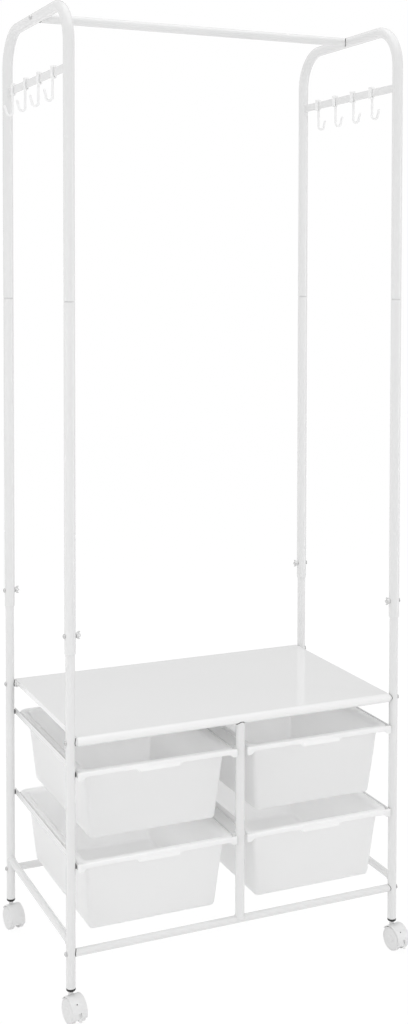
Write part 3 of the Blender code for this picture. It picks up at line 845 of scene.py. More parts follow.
@dataclass
class UpperFrame:
    """Uprights, bent hoops with their flat hook bars, and the hanging rod."""

    plan: Plan = PLAN
    bend_r: float = 0.068
    bend_steps: int = 14
    edge: float = 0.0006
    seam: float = 0.0009
    spigot: float = 0.040
    bar_bite: float = 0.8
    weld: float = 0.0022
    weld_round: float = 0.95

    def build(self) -> None:
        """Builds and dresses all pieces."""
        self.uprights()
        for side in Side:
            self.hoop(side)
            self.hook_bar(side)
        PluggedTube("hanging_rod", self.plan.rod_r, self.plan.upper_r, Axis.Y).build(
            self.plan.shift_y, self.plan.hoop_top, "rod"
        )

    def uprights(self) -> None:
        """Four sleeves, open at both ends."""
        plan = self.plan
        outer, inner = plan.upper_r, plan.upper_r - plan.upper_wall
        low, high = plan.sleeve_z, plan.seam_z - self.seam
        profile = [
            (inner, low + self.edge),
            (inner + self.edge / 2, low),
            (outer - self.edge, low),
            (outer, low + self.edge),
            (outer, high - self.edge),
            (outer - self.edge, high),
            (inner, high),
            (inner, low + self.edge),
        ]
        pattern = Bench.lathe("upright_pattern", profile)
        for side, depth in CORNERS:
            word = corner_word(side, depth)
            item = Bench.copy(pattern, f"{word}_upper_tube", at(plan.x(side), plan.y(depth), 0))
            fit(item, BASE_BODY, POWDER_COAT, f"{word}_upright")
        Bench.discard(pattern)

    def hoop(self, side: Side) -> None:
        """One bent hoop, with reduced ends inside the uprights.

        Args:
            side: side of the rack.
        """
        plan = self.plan
        x, front, rear = plan.x(side), plan.y(Depth.FRONT), plan.y(Depth.REAR)
        bend_z = plan.hoop_top - self.bend_r
        rise = bend_z - plan.seam_z
        moves = [
            Run((0, 0, rise)),
            Bend((x, front + self.bend_r, bend_z), (-1, 0, 0), 90, self.bend_steps),
            Run((0, rear - front - 2 * self.bend_r, 0)),
            Bend((x, rear - self.bend_r, bend_z), (-1, 0, 0), 90, self.bend_steps),
            Run((0, 0, -rise)),
        ]
        start = (x, front, plan.seam_z)
        item = Bench.bent_bar(f"{side.word}_hoop", plan.upper_r, start, moves, ROUND_SIDES)
        Bench.edit(item)
        Bench.pick(item, "FACE", lambda spots: all(spot.z < plan.seam_z + NEAR for spot in spots))
        bpy.ops.mesh.inset(thickness=self.edge, use_individual=True)
        bpy.ops.transform.translate(value=(0, 0, -self.edge / 2))
        bpy.ops.mesh.inset(thickness=plan.upper_wall + plan.gap, use_individual=True)
        Bench.pull((0, 0, -self.spigot))
        Bench.done()
        fit(item, BASE_BODY, POWDER_COAT, f"{side.word}_top_hoop")

    def hook_bar(self, side: Side) -> None:
        """The flat bar across a hoop, with a weld bead at each end.

        Args:
            side: side of the rack.
        """
        plan = self.plan
        x, z = plan.x(side), plan.hook_bar_z
        reach = plan.post_y - plan.upper_r * self.bar_bite
        half = (plan.hook_bar_t / 2, plan.hook_bar_h / 2)
        low = (x - half[0], plan.shift_y - reach, z - half[1])
        high = (x + half[0], plan.shift_y + reach, z + half[1])
        item = Bench.slab(f"{side.word}_hook_bar", low, high, self.edge)
        for depth in Depth:
            face = plan.y(depth) - depth.value * plan.upper_r
            bead = Bench.slab(
                "bead",
                (low[0] - self.weld, face - self.weld, low[2] - self.weld),
                (high[0] + self.weld, face + self.weld, high[2] + self.weld),
            )
            Bench.soften(bead, self.weld * self.weld_round, segments=4)
            Bench.combine(item, bead, Joining.WELD)
        fit(item, BASE_BODY, POWDER_COAT)


@dataclass
class PluggedTube:
    """A tube from side to side whose dark end plugs saddle on what it is bolted to; the plugs' black flanges
    stand for plastic plugs and also paint the shadow in the joint.
    """

    node: str
    radius: float
    seat_r: float
    seat_axis: Axis
    plan: Plan = PLAN
    blank: float = 0.05
    bury: float = 0.01
    room: float = 0.03
    seat_reach: float = 8.0

    def tube(self, y: float, z: float) -> bpy.types.Object:
        """The tube itself, with saddle ends that leave room for the plugs.

        Args:
            y: place of its axis from front to back.
            z: height of its axis.

        Returns:
            The tube.
        """
        plan = self.plan
        item = Bench.cylinder(f"{self.node}_tube", Axis.X, (0, y, z), self.radius, 2 * plan.post_x)
        for side in Side:
            Bench.combine(item, self._seat(side, y, z, plan.plug), Joining.CUT)
        return item

    def _seat(self, side: Side, y: float, z: float, extra: float) -> bpy.types.Object:
        """A cutting tool of the tube that this one is bolted to.

        Args:
            side: side of the rack.
            y: place of this tube's axis from front to back.
            z: height of this tube's axis.
            extra: what the tool is thicker than the seat.

        Returns:
            The tool.
        """
        plan = self.plan
        radius = self.seat_r + plan.gap + extra
        length = self.seat_reach * self.radius
        return Bench.cylinder("seat", self.seat_axis, (plan.x(side), y, z), radius, length)

    def plugs(self, y: float, z: float, prefix: str) -> None:
        """Two plugs whose black flanges show between the tube and its seat, as plastic plugs and as painted
        shadow of the joint's gap.

        Args:
            y: place of the tube's axis from front to back.
            z: height of the tube's axis.
            prefix: start of the plugs' names.
        """
        plan = self.plan
        for side in Side:
            name, middle = f"{prefix}_{side.word}_end_plug", (plan.x(side), y, z)
            item = Bench.cylinder(name, Axis.X, middle, self.radius - HAIR, self.blank)
            Bench.combine(item, self._seat(side, y, z, plan.plug), Joining.KEEP)
            inner = plan.post_x - self.seat_r - plan.plug - self.bury
            ends = sorted((side.value * inner, side.value * plan.post_x))
            low, high = (ends[0], y - self.room, z - self.room), (ends[1], y + self.room, z + self.room)
            Bench.combine(item, Bench.slab("half", low, high), Joining.KEEP)
            Bench.combine(item, self._seat(side, y, z, 0.0), Joining.CUT)
            # The black flange stands for a plastic plug and also paints the shadow in the gap where the tube
            # meets its seat
            fit(item, BASE_BODY, BLACK_PLASTIC_AND_GAP_SHADE)

    def build(self, y: float, z: float, prefix: str) -> None:
        """Builds the tube and its plugs.

        Args:
            y: place of its axis from front to back.
            z: height of its axis.
            prefix: name of its plugs.
        """
        fit(self.tube(y, z), BASE_BODY, POWDER_COAT, self.node)
        self.plugs(y, z, prefix)


@dataclass
class LowerCart:
    """Side frames, shelf tubes, bottom tubes with middle posts, and the runners of the bins."""

    plan: Plan = PLAN
    edge: float = 0.0006
    flare: float = 0.0012
    flare_length: float = 0.004
    flare_steps: int = 4
    rail_bite: float = 0.55
    runner_height: float = 0.0112
    runner_lip: float = 0.013
    runner_wall: float = 0.0015
    runner_overhang: float = 0.006
    runner_round: float = 0.4
    standoff_r: float = 0.0045
    standoff_t: float = 0.0022
    boss_share: float = 0.9
    disc_edge: float = 0.25
    pad_t: float = 0.0008
    bay_outer_x: float = 0.298
    bay_inner_x: float = 0.0115
    runner_drop: float = 0.0108
    cap_drop: float = 0.0036
    foot_share: float = 0.25
    saddle_length: float = 0.04

    def build(self) -> None:
        """Builds and dresses all pieces."""
        plan = self.plan
        for side in Side:
            self.side_frame(side)
        for depth in Depth:
            y = plan.y(depth)
            PluggedTube(f"{depth.word}_shelf_tube", plan.cross_r, plan.post_r, Axis.Z).build(
                y, plan.shelf_z, f"{depth.word}_shelf"
            )
            self.tee(depth)
        for tier in Tier:
            for side in Side:
                self.side_runner(tier, side)
            self.middle_runner(tier)

    def flared(self, length: float, radius: float, both: bool) -> list[tuple[float, float]]:
        """Profile of a bar whose welded ends swell a little into their beads.

        Args:
            length: length of the bar.
            radius: its radius.
            both: whether both ends are welded.

        Returns:
            Radius and height of each point.
        """
        wide, bead = radius + self.flare, self.flare_length + self.flare
        swell = [(0.0, 0.0), (wide, 0.0), *arc((wide, bead), self.flare, 270, 180, self.flare_steps)]
        if not both:
            return [*swell, (radius, length), (0.0, length)]
        return swell + [(r, length - h) for r, h in swell[::-1]]

    def side_frame(self, side: Side) -> None:
        """Two posts and their welded bottom rail.

        Args:
            side: side of the rack.
        """
        plan = self.plan
        x = plan.x(side)
        span = 2 * (plan.post_y - plan.post_r * self.rail_bite)
        item = Bench.lathe(f"{side.word}_lower_side", self.flared(span, plan.cross_r, both=True))
        Bench.place(item, at(x, plan.shift_y - span / 2, plan.rail_z) @ Axis.Y.turn())
        profile = eased_rod(plan.post_r, plan.post_foot, plan.post_top, self.edge)
        for depth in Depth:
            post = Bench.lathe("post", profile)
            Bench.place(post, at(x, plan.y(depth), 0))
            Bench.combine(item, post, Joining.WELD)
        fit(item, BASE_BODY, POWDER_COAT, f"{side.word}_side_frame")

    def tee(self, depth: Depth) -> None:
        """A bottom tube with its middle post, and the dark cap on that post.

        Args:
            depth: front or rear.
        """
        plan = self.plan
        y = plan.y(depth)
        maker = PluggedTube(f"{depth.word}_bottom_tee", plan.cross_r, plan.post_r, Axis.Z)
        item = maker.tube(y, plan.bottom_z)
        inner = plan.curl_r + plan.gap
        outer = inner + plan.plug
        cap = self._middle_post(f"{depth.word}_middle_post_cap", y, plan.mid_r - HAIR)
        Bench.combine(cap, self._curl("reach", y, outer), Joining.KEEP)
        Bench.combine(cap, self._curl("saddle", y, inner), Joining.CUT)
        fit(cap, BASE_BODY, BLACK_PLASTIC_AND_GAP_SHADE)
        post = self._middle_post("post", y, plan.mid_r)
        Bench.combine(post, self._curl("saddle", y, outer), Joining.CUT)
        Bench.combine(item, post, Joining.WELD)
        fit(item, BASE_BODY, POWDER_COAT, f"{depth.word}_bottom_tee")
        maker.plugs(y, plan.bottom_z, f"{depth.word}_bottom")

    def _middle_post(self, name: str, y: float, radius: float) -> bpy.types.Object:
        """A post from a bottom tube up to the shelf's curl.

        Args:
            name: name of the piece.
            y: place of its axis from front to back.
            radius: its radius.

        Returns:
            The post, in place and with a plain top.
        """
        plan = self.plan
        foot = plan.bottom_z + plan.cross_r * self.foot_share
        item = Bench.lathe(name, self.flared(plan.shelf_z - self.cap_drop - foot, radius, both=False))
        Bench.place(item, at(0, y, foot))
        return item

    def _curl(self, name: str, y: float, radius: float) -> bpy.types.Object:
        """A tool of the shelf's curl above a middle post."""
        return Bench.cylinder(name, Axis.X, (0, y, self.plan.shelf_z), radius, self.saddle_length)

    def _strip(self, name: str, outline: Sequence[Point], length: float) -> bpy.types.Object:
        """A folded steel strip: an open line pulled to its length, then given its thickness.

        Args:
            name: name of the piece.
            outline: places of the line.
            length: length of the strip.

        Returns:
            The strip.
        """
        item = Bench.seed(name, outline[0])
        Bench.draw(outline)
        bpy.ops.mesh.select_all(action="SELECT")
        Bench.pull((0, length, 0))
        Bench.done()
        Bench.modify(item, "SOLIDIFY", thickness=self.runner_wall, offset=0.0, use_even_offset=True)
        Bench.soften(item, self.runner_wall * self.runner_round)
        return item

    def side_runner(self, tier: Tier, side: Side) -> None:
        """An angle along two posts, held off them by standoffs whose black pads are partly rubber pads and
        partly painted shadow of the gap at the posts.

        Args:
            tier: level of the bins.
            side: side of the rack.
        """
        plan, wall = self.plan, self.runner_wall
        low = plan.rim(tier) - self.runner_drop
        reach = plan.post_y + self.runner_overhang
        front = plan.shift_y - reach
        web = side.value * (self.bay_outer_x + wall / 2)
        lip = side.value * (self.bay_outer_x + wall - self.runner_lip)
        base = low + wall / 2
        outline = [(lip, front, base), (web, front, base), (web, front, low + self.runner_height)]
        word = f"{tier.word}_{side.word}"
        item = self._strip(f"{word}_angle", outline, 2 * reach)
        middle, pad_low = low + self.runner_height / 2, self.standoff_t - self.pad_t
        boss_r, boss_edge = self.standoff_r * self.boss_share, (pad_low + wall / 2) * self.disc_edge
        boss_profile = eased_rod(boss_r, -wall / 2, pad_low, boss_edge)
        pad_profile = eased_rod(self.standoff_r, pad_low, self.standoff_t, self.pad_t * self.disc_edge)
        for depth in Depth:
            place = at(side.value * (self.bay_outer_x + wall), plan.y(depth), middle)
            place = place @ side_turn(side) @ Axis.X.turn()
            boss = Bench.lathe("boss", boss_profile, SMALL_SIDES)
            Bench.place(boss, place)
            Bench.combine(item, boss, Joining.WELD)
            # The black pad stands for a rubber pad and also paints the dark shadow line in the gap between
            # post and runner
            pad = Bench.lathe(f"{word}_{depth.word}_standoff", pad_profile, SMALL_SIDES)
            Bench.place(pad, place)
            fit(pad, BASE_BODY, BLACK_PLASTIC_AND_GAP_SHADE)
        fit(item, BASE_BODY, POWDER_COAT, f"{word}_runner")

    def middle_runner(self, tier: Tier) -> None:
        """A hat channel between the middle posts that carries a bin on each side.

        Args:
            tier: level of the bins.
        """
        plan, wall = self.plan, self.runner_wall
        low = plan.rim(tier) - self.runner_drop
        reach = plan.post_y - plan.mid_r - plan.gap
        front = plan.shift_y - reach
        half = self.bay_inner_x - wall / 2
        brim = self.bay_inner_x - wall + self.runner_lip
        base, crown = low + wall / 2, low + self.runner_height - wall / 2
        right = [(half, front, crown), (half, front, base), (brim, front, base)]
        outline = [(-x, y, z) for x, y, z in right[::-1]] + right
        item = self._strip(f"{tier.word}_middle_channel", outline, 2 * reach)
        fit(item, BASE_BODY, POWDER_COAT, f"{tier.word}_middle_runner")


@dataclass
class ShelfSheet:
    """A glossy sheet whose front and rear edges curl round the shelf tubes."""

    plan: Plan = PLAN
    sheet: float = 0.0012
    curl_degrees: float = 225.0
    curl_steps: int = 30
    half_x: float = 0.2992
    side_lip: float = 0.009
    edge_share: float = 0.45
    edge_degrees: float = 50.0
    flat_weight: int = 100

    def build(self) -> None:
        """Builds and dresses the sheet."""
        plan = self.plan
        radius = plan.curl_r
        front, rear, z = plan.y(Depth.FRONT), plan.y(Depth.REAR), plan.shelf_z
        end = math.pi / 2 + math.radians(self.curl_degrees)
        x = -self.half_x
        start = (x, front + radius * math.cos(end), z + radius * math.sin(end))
        item = Bench.seed("shelf_sheet", start)
        top = z + radius
        Bench.follow([Bend((x, front, z), (-1, 0, 0), self.curl_degrees, self.curl_steps)])
        line = [(x, front, top), (x, front + radius, top), (x, rear - radius, top), (x, rear, top)]
        Bench.draw(line)
        Bench.follow([Bend((x, rear, z), (-1, 0, 0), self.curl_degrees, self.curl_steps)])
        bpy.ops.mesh.select_all(action="SELECT")
        Bench.pull((2 * self.half_x, 0, 0))
        Bench.pick(item, "EDGE", self._side_edge)
        Bench.pull((0, 0, -self.side_lip))
        Bench.done()
        Bench.turn_up(item, lambda face: face.calc_area())
        Bench.modify(item, "SOLIDIFY", thickness=self.sheet, offset=-1.0, use_even_offset=True)
        Bench.soften(item, self.sheet * self.edge_share, degrees=self.edge_degrees)
        fit(item, BASE_BODY, GLOSS_SHEET, "shelf_panel")
        # The flat is shaded as a flat right up to its folds, so that it mirrors straight lines
        Bench.modify(item, "WEIGHTED_NORMAL", mode="FACE_AREA", weight=self.flat_weight, keep_sharp=True)

    def _side_edge(self, spots: list[Vector]) -> bool:
        """Tells whether an edge runs along a side of the flat, between the curls.

        Args:
            spots: places of the edge's ends.

        Returns:
            True if it does.
        """
        plan = self.plan
        inner = plan.post_y - plan.curl_r + NEAR
        at_side = all(abs(abs(spot.x) - self.half_x) < SAME for spot in spots)
        same_side = spots[0].x * spots[1].x > 0
        flat = all(spot.z > plan.shelf_z + plan.curl_r - SAME for spot in spots)
        between = all(abs(spot.y - plan.shift_y) < inner for spot in spots)
        return at_side and same_side and flat and between


@dataclass
class BinSet:
    """Four moulded bins with rolled rims, front bars, corner ears and grips."""

    plan: Plan = PLAN
    height: float = 0.128
    wall: float = 0.0022
    flange: float = 0.016
    taper: float = 0.009
    corner_r: float = 0.0058
    least_r: float = 0.001
    foot_r: float = 0.006
    half_x: float = 0.14105
    front_y: float = -0.188
    rear_y: float = 0.174
    skirt: float = 0.009
    cove_r: float = 0.010
    crown: float = 0.00004
    bin_x: float = 0.15475
    bar_half: float = 0.1453
    bar_back: float = -0.1865
    bar_t: float = 0.0045
    bar_h: float = 0.0092
    ear_h: float = 0.0142
    ear_w: float = 0.006
    ear_run: float = 0.010
    grip_half: float = 0.037
    grip_h: float = 0.0145
    grip_run: float = 0.006
    grip_out: float = 0.0022
    grip_top: float = 0.004
    grip_base: float = 0.0008
    grip_lip: float = 0.0045
    grip_ease: float = 0.001
    grip_edge: float = 0.0012
    bar_round: float = 0.42
    bar_degrees: float = 40.0
    curve_steps: int = 6
    roll_steps: int = 4
    cove_steps: int = 8
    foot_steps: int = 5
    corner_steps: int = 8

    def build(self) -> None:
        """Builds one bin and places its copies."""
        pattern = self.pattern()
        for tier in Tier:
            for side in Side:
                word = f"{tier.word}_{side.word}"
                place = at(side.value * self.bin_x, self.plan.shift_y, self.plan.rim(tier))
                item = Bench.copy(pattern, f"{word}_box", place)
                fit(item, f"{word}_bin", BIN_PLASTIC, f"{word}_bin")
        Bench.discard(pattern)

    def sections(self) -> list[tuple[float, float]]:
        """Insets from the rim's edge and heights, from the skirt over the rim down to the floor.

        Returns:
            Inset and height of each ring.
        """
        wall, cove, floor = self.wall, self.cove_r, -self.height + self.wall
        foot = self.flange + self.taper + wall
        lean = math.degrees(math.atan2(self.taper, self.height))
        rows = [(0.0, -self.skirt)]
        rows += arc((wall, -wall), wall, 180, 90, self.roll_steps)
        rows += arc((self.flange - cove, -cove - self.crown), cove, 90, lean, self.cove_steps)
        base = (foot + self.foot_r, floor + self.foot_r)
        rows += arc(base, self.foot_r, 180 + lean, 270, self.foot_steps)
        return rows

    def _corner(self, inset: float) -> float:
        """Corner radius of the ring at an inset: wide round the rim, tight at the floor.

        Args:
            inset: inset from the rim's edge.

        Returns:
            The radius.
        """
        out = min(max(self.flange - inset, 0.0), self.cove_r)
        into = max(inset - self.flange - self.taper - self.wall, 0.0)
        return max(self.corner_r + out - into, self.least_r)

    def _ring(self, inset: float, z: float) -> None:
        """Adds a rectangle with round corners to the mesh in hand.

        Args:
            inset: inset from the rim's edge.
            z: height of the ring.
        """
        middle_y, half_y = (self.front_y + self.rear_y) / 2, (self.rear_y - self.front_y) / 2
        bpy.ops.mesh.primitive_plane_add(size=2, location=(0, middle_y, z))
        size = (self.half_x - inset, half_y - inset, 1)
        bpy.ops.transform.resize(value=size, center_override=(0, middle_y, z))
        bpy.ops.mesh.bevel(offset=self._corner(inset), segments=self.corner_steps, affect="VERTICES")
        bpy.ops.mesh.delete(type="ONLY_FACE")

    def tub(self) -> bpy.types.Object:
        """The tub: rounded rings bridged over the rim and down to the floor, then given a wall.

        Returns:
            The tub.
        """
        rows = self.sections()
        item = Bench.seed("bin_pattern", (0, 0, 0))
        bpy.ops.mesh.select_all(action="SELECT")
        bpy.ops.mesh.delete(type="VERT")
        for inset, z in rows:
            self._ring(inset, z)
        heights = [z for _, z in rows]
        for pair in zip(heights, heights[1:]):
            Bench.pick(item, "EDGE", lambda spots: any(self._level(spots, z) for z in pair))
            bpy.ops.mesh.bridge_edge_loops()
        Bench.pick(item, "EDGE", lambda spots: self._level(spots, heights[-1]))
        bpy.ops.mesh.edge_face_add()
        Bench.done()
        Bench.turn_up(item, lambda face: -face.calc_center_median().z)
        Bench.modify(item, "SOLIDIFY", thickness=self.wall, offset=-1.0, use_even_offset=True)
        return item

    @staticmethod
    def _level(spots: list[Vector], z: float) -> bool:
        """Tells whether all corners lie at one height."""
        return all(abs(spot.z - z) < SAME for spot in spots)

    def _ease(self, first: tuple[float, float], last: tuple[float, float]) -> list[tuple[float, float]]:
        """A smooth step of an edge from one place to another.

        Args:
            first: place where it starts.
            last: place where it ends.

        Returns:
            The places of the step.
        """
        rows = []
        for step in range(self.curve_steps + 1):
            share = step / self.curve_steps
            lift = (1 - math.cos(math.pi * share)) / 2
            rows.append((first[0] + (last[0] - first[0]) * share, first[1] + (last[1] - first[1]) * lift))
        return rows

    def pattern(self) -> bpy.types.Object:
        """One bin about the middle of its rim.

        Returns:
            The bin.
        """
        item = self.tub()
        half, front = self.bar_half, self.bar_back - self.bar_t
        ear, grip_x = -half + self.ear_w, -self.grip_half
        edge = [(-half, -self.ear_h)]
        edge += self._ease((ear, -self.ear_h), (ear + self.ear_run, -self.bar_h))
        edge += self._ease((grip_x - self.grip_run, -self.bar_h), (grip_x, -self.grip_h))
        edge += [(-x, z) for x, z in edge[::-1]] + [(half, 0), (-half, 0)]
        bar = Bench.outline_slab("bar", [(x, front, z) for x, z in edge], (0, self.bar_t, 0))
        Bench.soften(bar, self.bar_t * self.bar_round, segments=5, degrees=self.bar_degrees)
        back, out = front + self.grip_ease, front - self.grip_out
        base, tip = -self.grip_h + self.grip_base, -self.grip_h + self.grip_lip
        lip = [(back, -self.grip_top), (back, base), (out, base), (out, tip)]
        reach = self.grip_half - self.grip_ease
        grip = Bench.outline_slab("grip", [(-reach, y, z) for y, z in lip], (2 * reach, 0, 0))
        Bench.soften(grip, self.grip_edge, segments=4)
        Bench.combine(bar, grip, Joining.WELD)
        Bench.combine(item, bar, Joining.WELD)
        return item


@dataclass
class HookSet:
    """Sliding hooks: clips round the flat bars with bent stems whose mouths face outwards."""

    plan: Plan = PLAN
    rows: tuple[tuple[float, float], tuple[float, float]] = ((0.0583, 0.2222), (0.0417, 0.1917))
    count: int = 4
    clip_w: float = 0.010
    clip_wall: float = 0.0024
    clip_roof: float = 0.0045
    slot: float = 0.0016
    clip_gap: float = 0.0001
    wire_r: float = 0.0023
    depth: float = 0.041
    bend_r: float = 0.0058
    bend_steps: int = 20
    tip_rise: float = 0.013
    tip_lean: float = 0.003
    tip_swell: float = 1.02
    tip_steps: int = 12
    wire_sides: int = 24
    edge: float = 0.0006

    def build(self) -> None:
        """Builds one hook and places its copies."""
        pattern = self.pattern()
        for side, (middle, pitch) in zip(Side, self.rows):
            for index in range(self.count):
                share = middle + (index - (self.count - 1) / 2) * pitch
                y = self.plan.shift_y + 2 * self.plan.post_y * share
                node = f"{side.word}_hook_{index + 1}"
                place = at(self.plan.x(side), y, self.plan.hook_bar_z) @ side_turn(side)
                item = Bench.copy(pattern, f"{side.word}_coat_hook_{index + 1}", place)
                fit(item, node, HOOK_PLASTIC, node)
        Bench.discard(pattern)

    def pattern(self) -> bpy.types.Object:
        """One hook about the middle of its bar, with its mouth towards +x.

        Returns:
            The hook.
        """
        gap, half_w = self.clip_gap, self.clip_w / 2
        inner_x, inner_z = self.plan.hook_bar_t / 2 + gap, self.plan.hook_bar_h / 2 + gap
        outer_x, low_z = inner_x + self.clip_wall, -inner_z - self.clip_wall
        top_z = inner_z + self.clip_roof
        loop = [(0, low_z), (outer_x, low_z), (outer_x, top_z), (-outer_x, top_z), (-outer_x, low_z)]
        loop += [(-self.slot, low_z), (-self.slot, -inner_z), (-inner_x, -inner_z), (-inner_x, inner_z)]
        loop += [(inner_x, inner_z), (inner_x, -inner_z), (0, -inner_z)]
        item = Bench.outline_slab("hook_pattern", [(x, -half_w, z) for x, z in loop], (0, self.clip_w, 0))
        Bench.soften(item, self.edge)
        stem_x = outer_x - self.wire_r
        far_x = stem_x + 2 * self.bend_r
        start = (stem_x, 0, low_z + self.clip_wall / 2)
        straight = -self.depth - start[2]
        moves = [
            Run((0, 0, straight)),
            Bend((stem_x + self.bend_r, 0, -self.depth), (0, -1, 0), 180, self.bend_steps),
            Run((self.tip_lean, 0, self.tip_rise - self.wire_r)),
        ]
        stem = Bench.bent_bar("stem", self.wire_r, start, moves, self.wire_sides)
        tip = self._round_tip((far_x + self.tip_lean, 0, self.tip_rise - self.wire_r - self.depth))
        Bench.combine(stem, tip, Joining.WELD)
        Bench.combine(item, stem, Joining.WELD)
        return item

    def _round_tip(self, place: Point) -> bpy.types.Object:
        """A ball end for the stem.

        Args:
            place: middle of the ball.

        Returns:
            The ball.
        """
        profile = arc((0.0, 0.0), self.wire_r * self.tip_swell, -90, 90, self.tip_steps)
        item = Bench.lathe("tip", profile, self.wire_sides)
        Bench.place(item, at(*place))
        return item


@dataclass
class Fasteners:
    """Pan-head bolts with cross recesses, and the wing bolts with their nuts."""

    plan: Plan = PLAN
    shank_r: float = 0.0025
    head_r: float = 0.0042
    head_h: float = 0.0024
    head_edge: float = 0.0003
    bury: float = 0.012
    dome_low: float = 0.35
    dome_power: float = 0.7
    dome_steps: int = 6
    recess_low: float = 0.7
    recess_high: float = 1.3
    recess_arm: float = 0.55
    recess_half: float = 0.13
    nut_h: float = 0.006
    nut_r: float = 0.0045
    nut_waist: float = 0.6
    nut_taper: float = 0.8
    nut_edge: float = 0.0006
    wing_half: float = 0.007
    wing_t: float = 0.0018
    wing_edge: float = 0.0005
    wing_low: tuple[tuple[float, float], ...] = ((0.32, 0.2), (0.7, 0.3), (0.92, 0.55), (1.0, 0.9))
    wing_high: tuple[tuple[float, float], ...] = ((0.97, 1.2), (0.85, 1.3), (0.66, 1.15), (0.32, 0.8))
    tail: float = 0.002

    def build(self) -> None:
        """Builds one bolt of each kind and places the copies."""
        plan = self.plan
        short = self.bolt("bolt_pattern", plan.post_r, plan.post_r + self.bury)
        long = self.bolt("rod_bolt_pattern", plan.upper_r, plan.upper_r + self.bury)
        wing = self.wing_bolt()
        kinds = (
            ("shelf", short, plan.shelf_z),
            ("bottom", short, plan.bottom_z),
            ("wing", wing, plan.wing_z),
        )
        for side, depth in CORNERS:
            for kind, pattern, z in kinds:
                self._set(pattern, f"{corner_word(side, depth)}_{kind}", side, plan.y(depth), z)
        for side in Side:
            self._set(long, f"{side.word}_rod", side, plan.shift_y, plan.hoop_top)
        Bench.discard(short, long, wing)

    def _set(self, pattern: bpy.types.Object, word: str, side: Side, y: float, z: float) -> None:
        """Places a copy of a bolt, with its head outwards.

        Args:
            pattern: bolt to copy.
            word: place and kind of the bolt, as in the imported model.
            side: side of the rack.
            y: place of its axis from front to back.
            z: height of its axis.
        """
        item = Bench.copy(pattern, f"{word}_screw", at(self.plan.x(side), y, z) @ side_turn(side))
        fit(item, BASE_BODY, ZINC_STEEL, f"{word}_bolt")

    def bolt(self, name: str, seat_r: float, tail: float) -> bpy.types.Object:
        """A bolt along +x whose domed head sits outside a tube of a given radius.

        Args:
            name: name of the piece.
            seat_r: radius of the tube.
            tail: reach of its end past the axis.

        Returns:
            The bolt.
        """
        face = seat_r + self.plan.gap
        profile = [(0.0, -tail), (self.shank_r, -tail), (self.shank_r, face)]
        profile += [(self.head_r - self.head_edge, face), (self.head_r, face + self.head_edge)]
        for step in range(self.dome_steps):
            turn = math.pi / 2 * step / self.dome_steps
            share = self.dome_low + (1 - self.dome_low) * math.sin(turn)
            profile.append((self.head_r * math.cos(turn) ** self.dome_power, face + self.head_h * share))
        profile.append((0.0, face + self.head_h))
        item = Bench.lathe(name, profile, SMALL_SIDES)
        Bench.place(item, Axis.X.turn())
        deep, out = face + self.head_h * self.recess_low, face + self.head_h * self.recess_high
        arm, half = self.head_r * self.recess_arm, self.head_r * self.recess_half
        for across, up in ((arm, half), (half, arm)):
            recess = Bench.slab("recess", (deep, -across, -up), (out, across, up))
            Bench.combine(item, recess, Joining.CUT)
        return item

    def wing_bolt(self) -> bpy.types.Object:
        """A bolt whose wing nut sits inside the upright, towards -x.

        Returns:
            The bolt with its nut.
        """
        seat = self.plan.upper_r + self.plan.gap
        item = self.bolt("wing_pattern", self.plan.upper_r, seat + self.nut_h + self.tail)
        edge, high, tip = self.nut_edge, self.nut_h, self.nut_r * self.nut_taper
        profile = [(0.0, 0.0), (self.nut_r, 0.0), (self.nut_r - self.head_edge, high * self.nut_waist)]
        profile += [(tip, high - edge), (tip - edge, high), (0.0, high)]
        nut = Bench.lathe("nut", profile, SMALL_SIDES)
        Bench.place(nut, at(-seat, 0, 0) @ Matrix.Rotation(-math.pi / 2, 4, "Y"))
        for way in (-1, 1):
            outline = []
            for reach, rise in self.wing_low + self.wing_high:
                outline.append((-seat - rise * high, -self.wing_t / 2, way * reach * self.wing_half))
            wing = Bench.outline_slab("wing", outline, (0, self.wing_t, 0))
            Bench.soften(wing, self.wing_edge)
            Bench.combine(nut, wing, Joining.WELD)
        Bench.combine(item, nut, Joining.WELD)
        return item


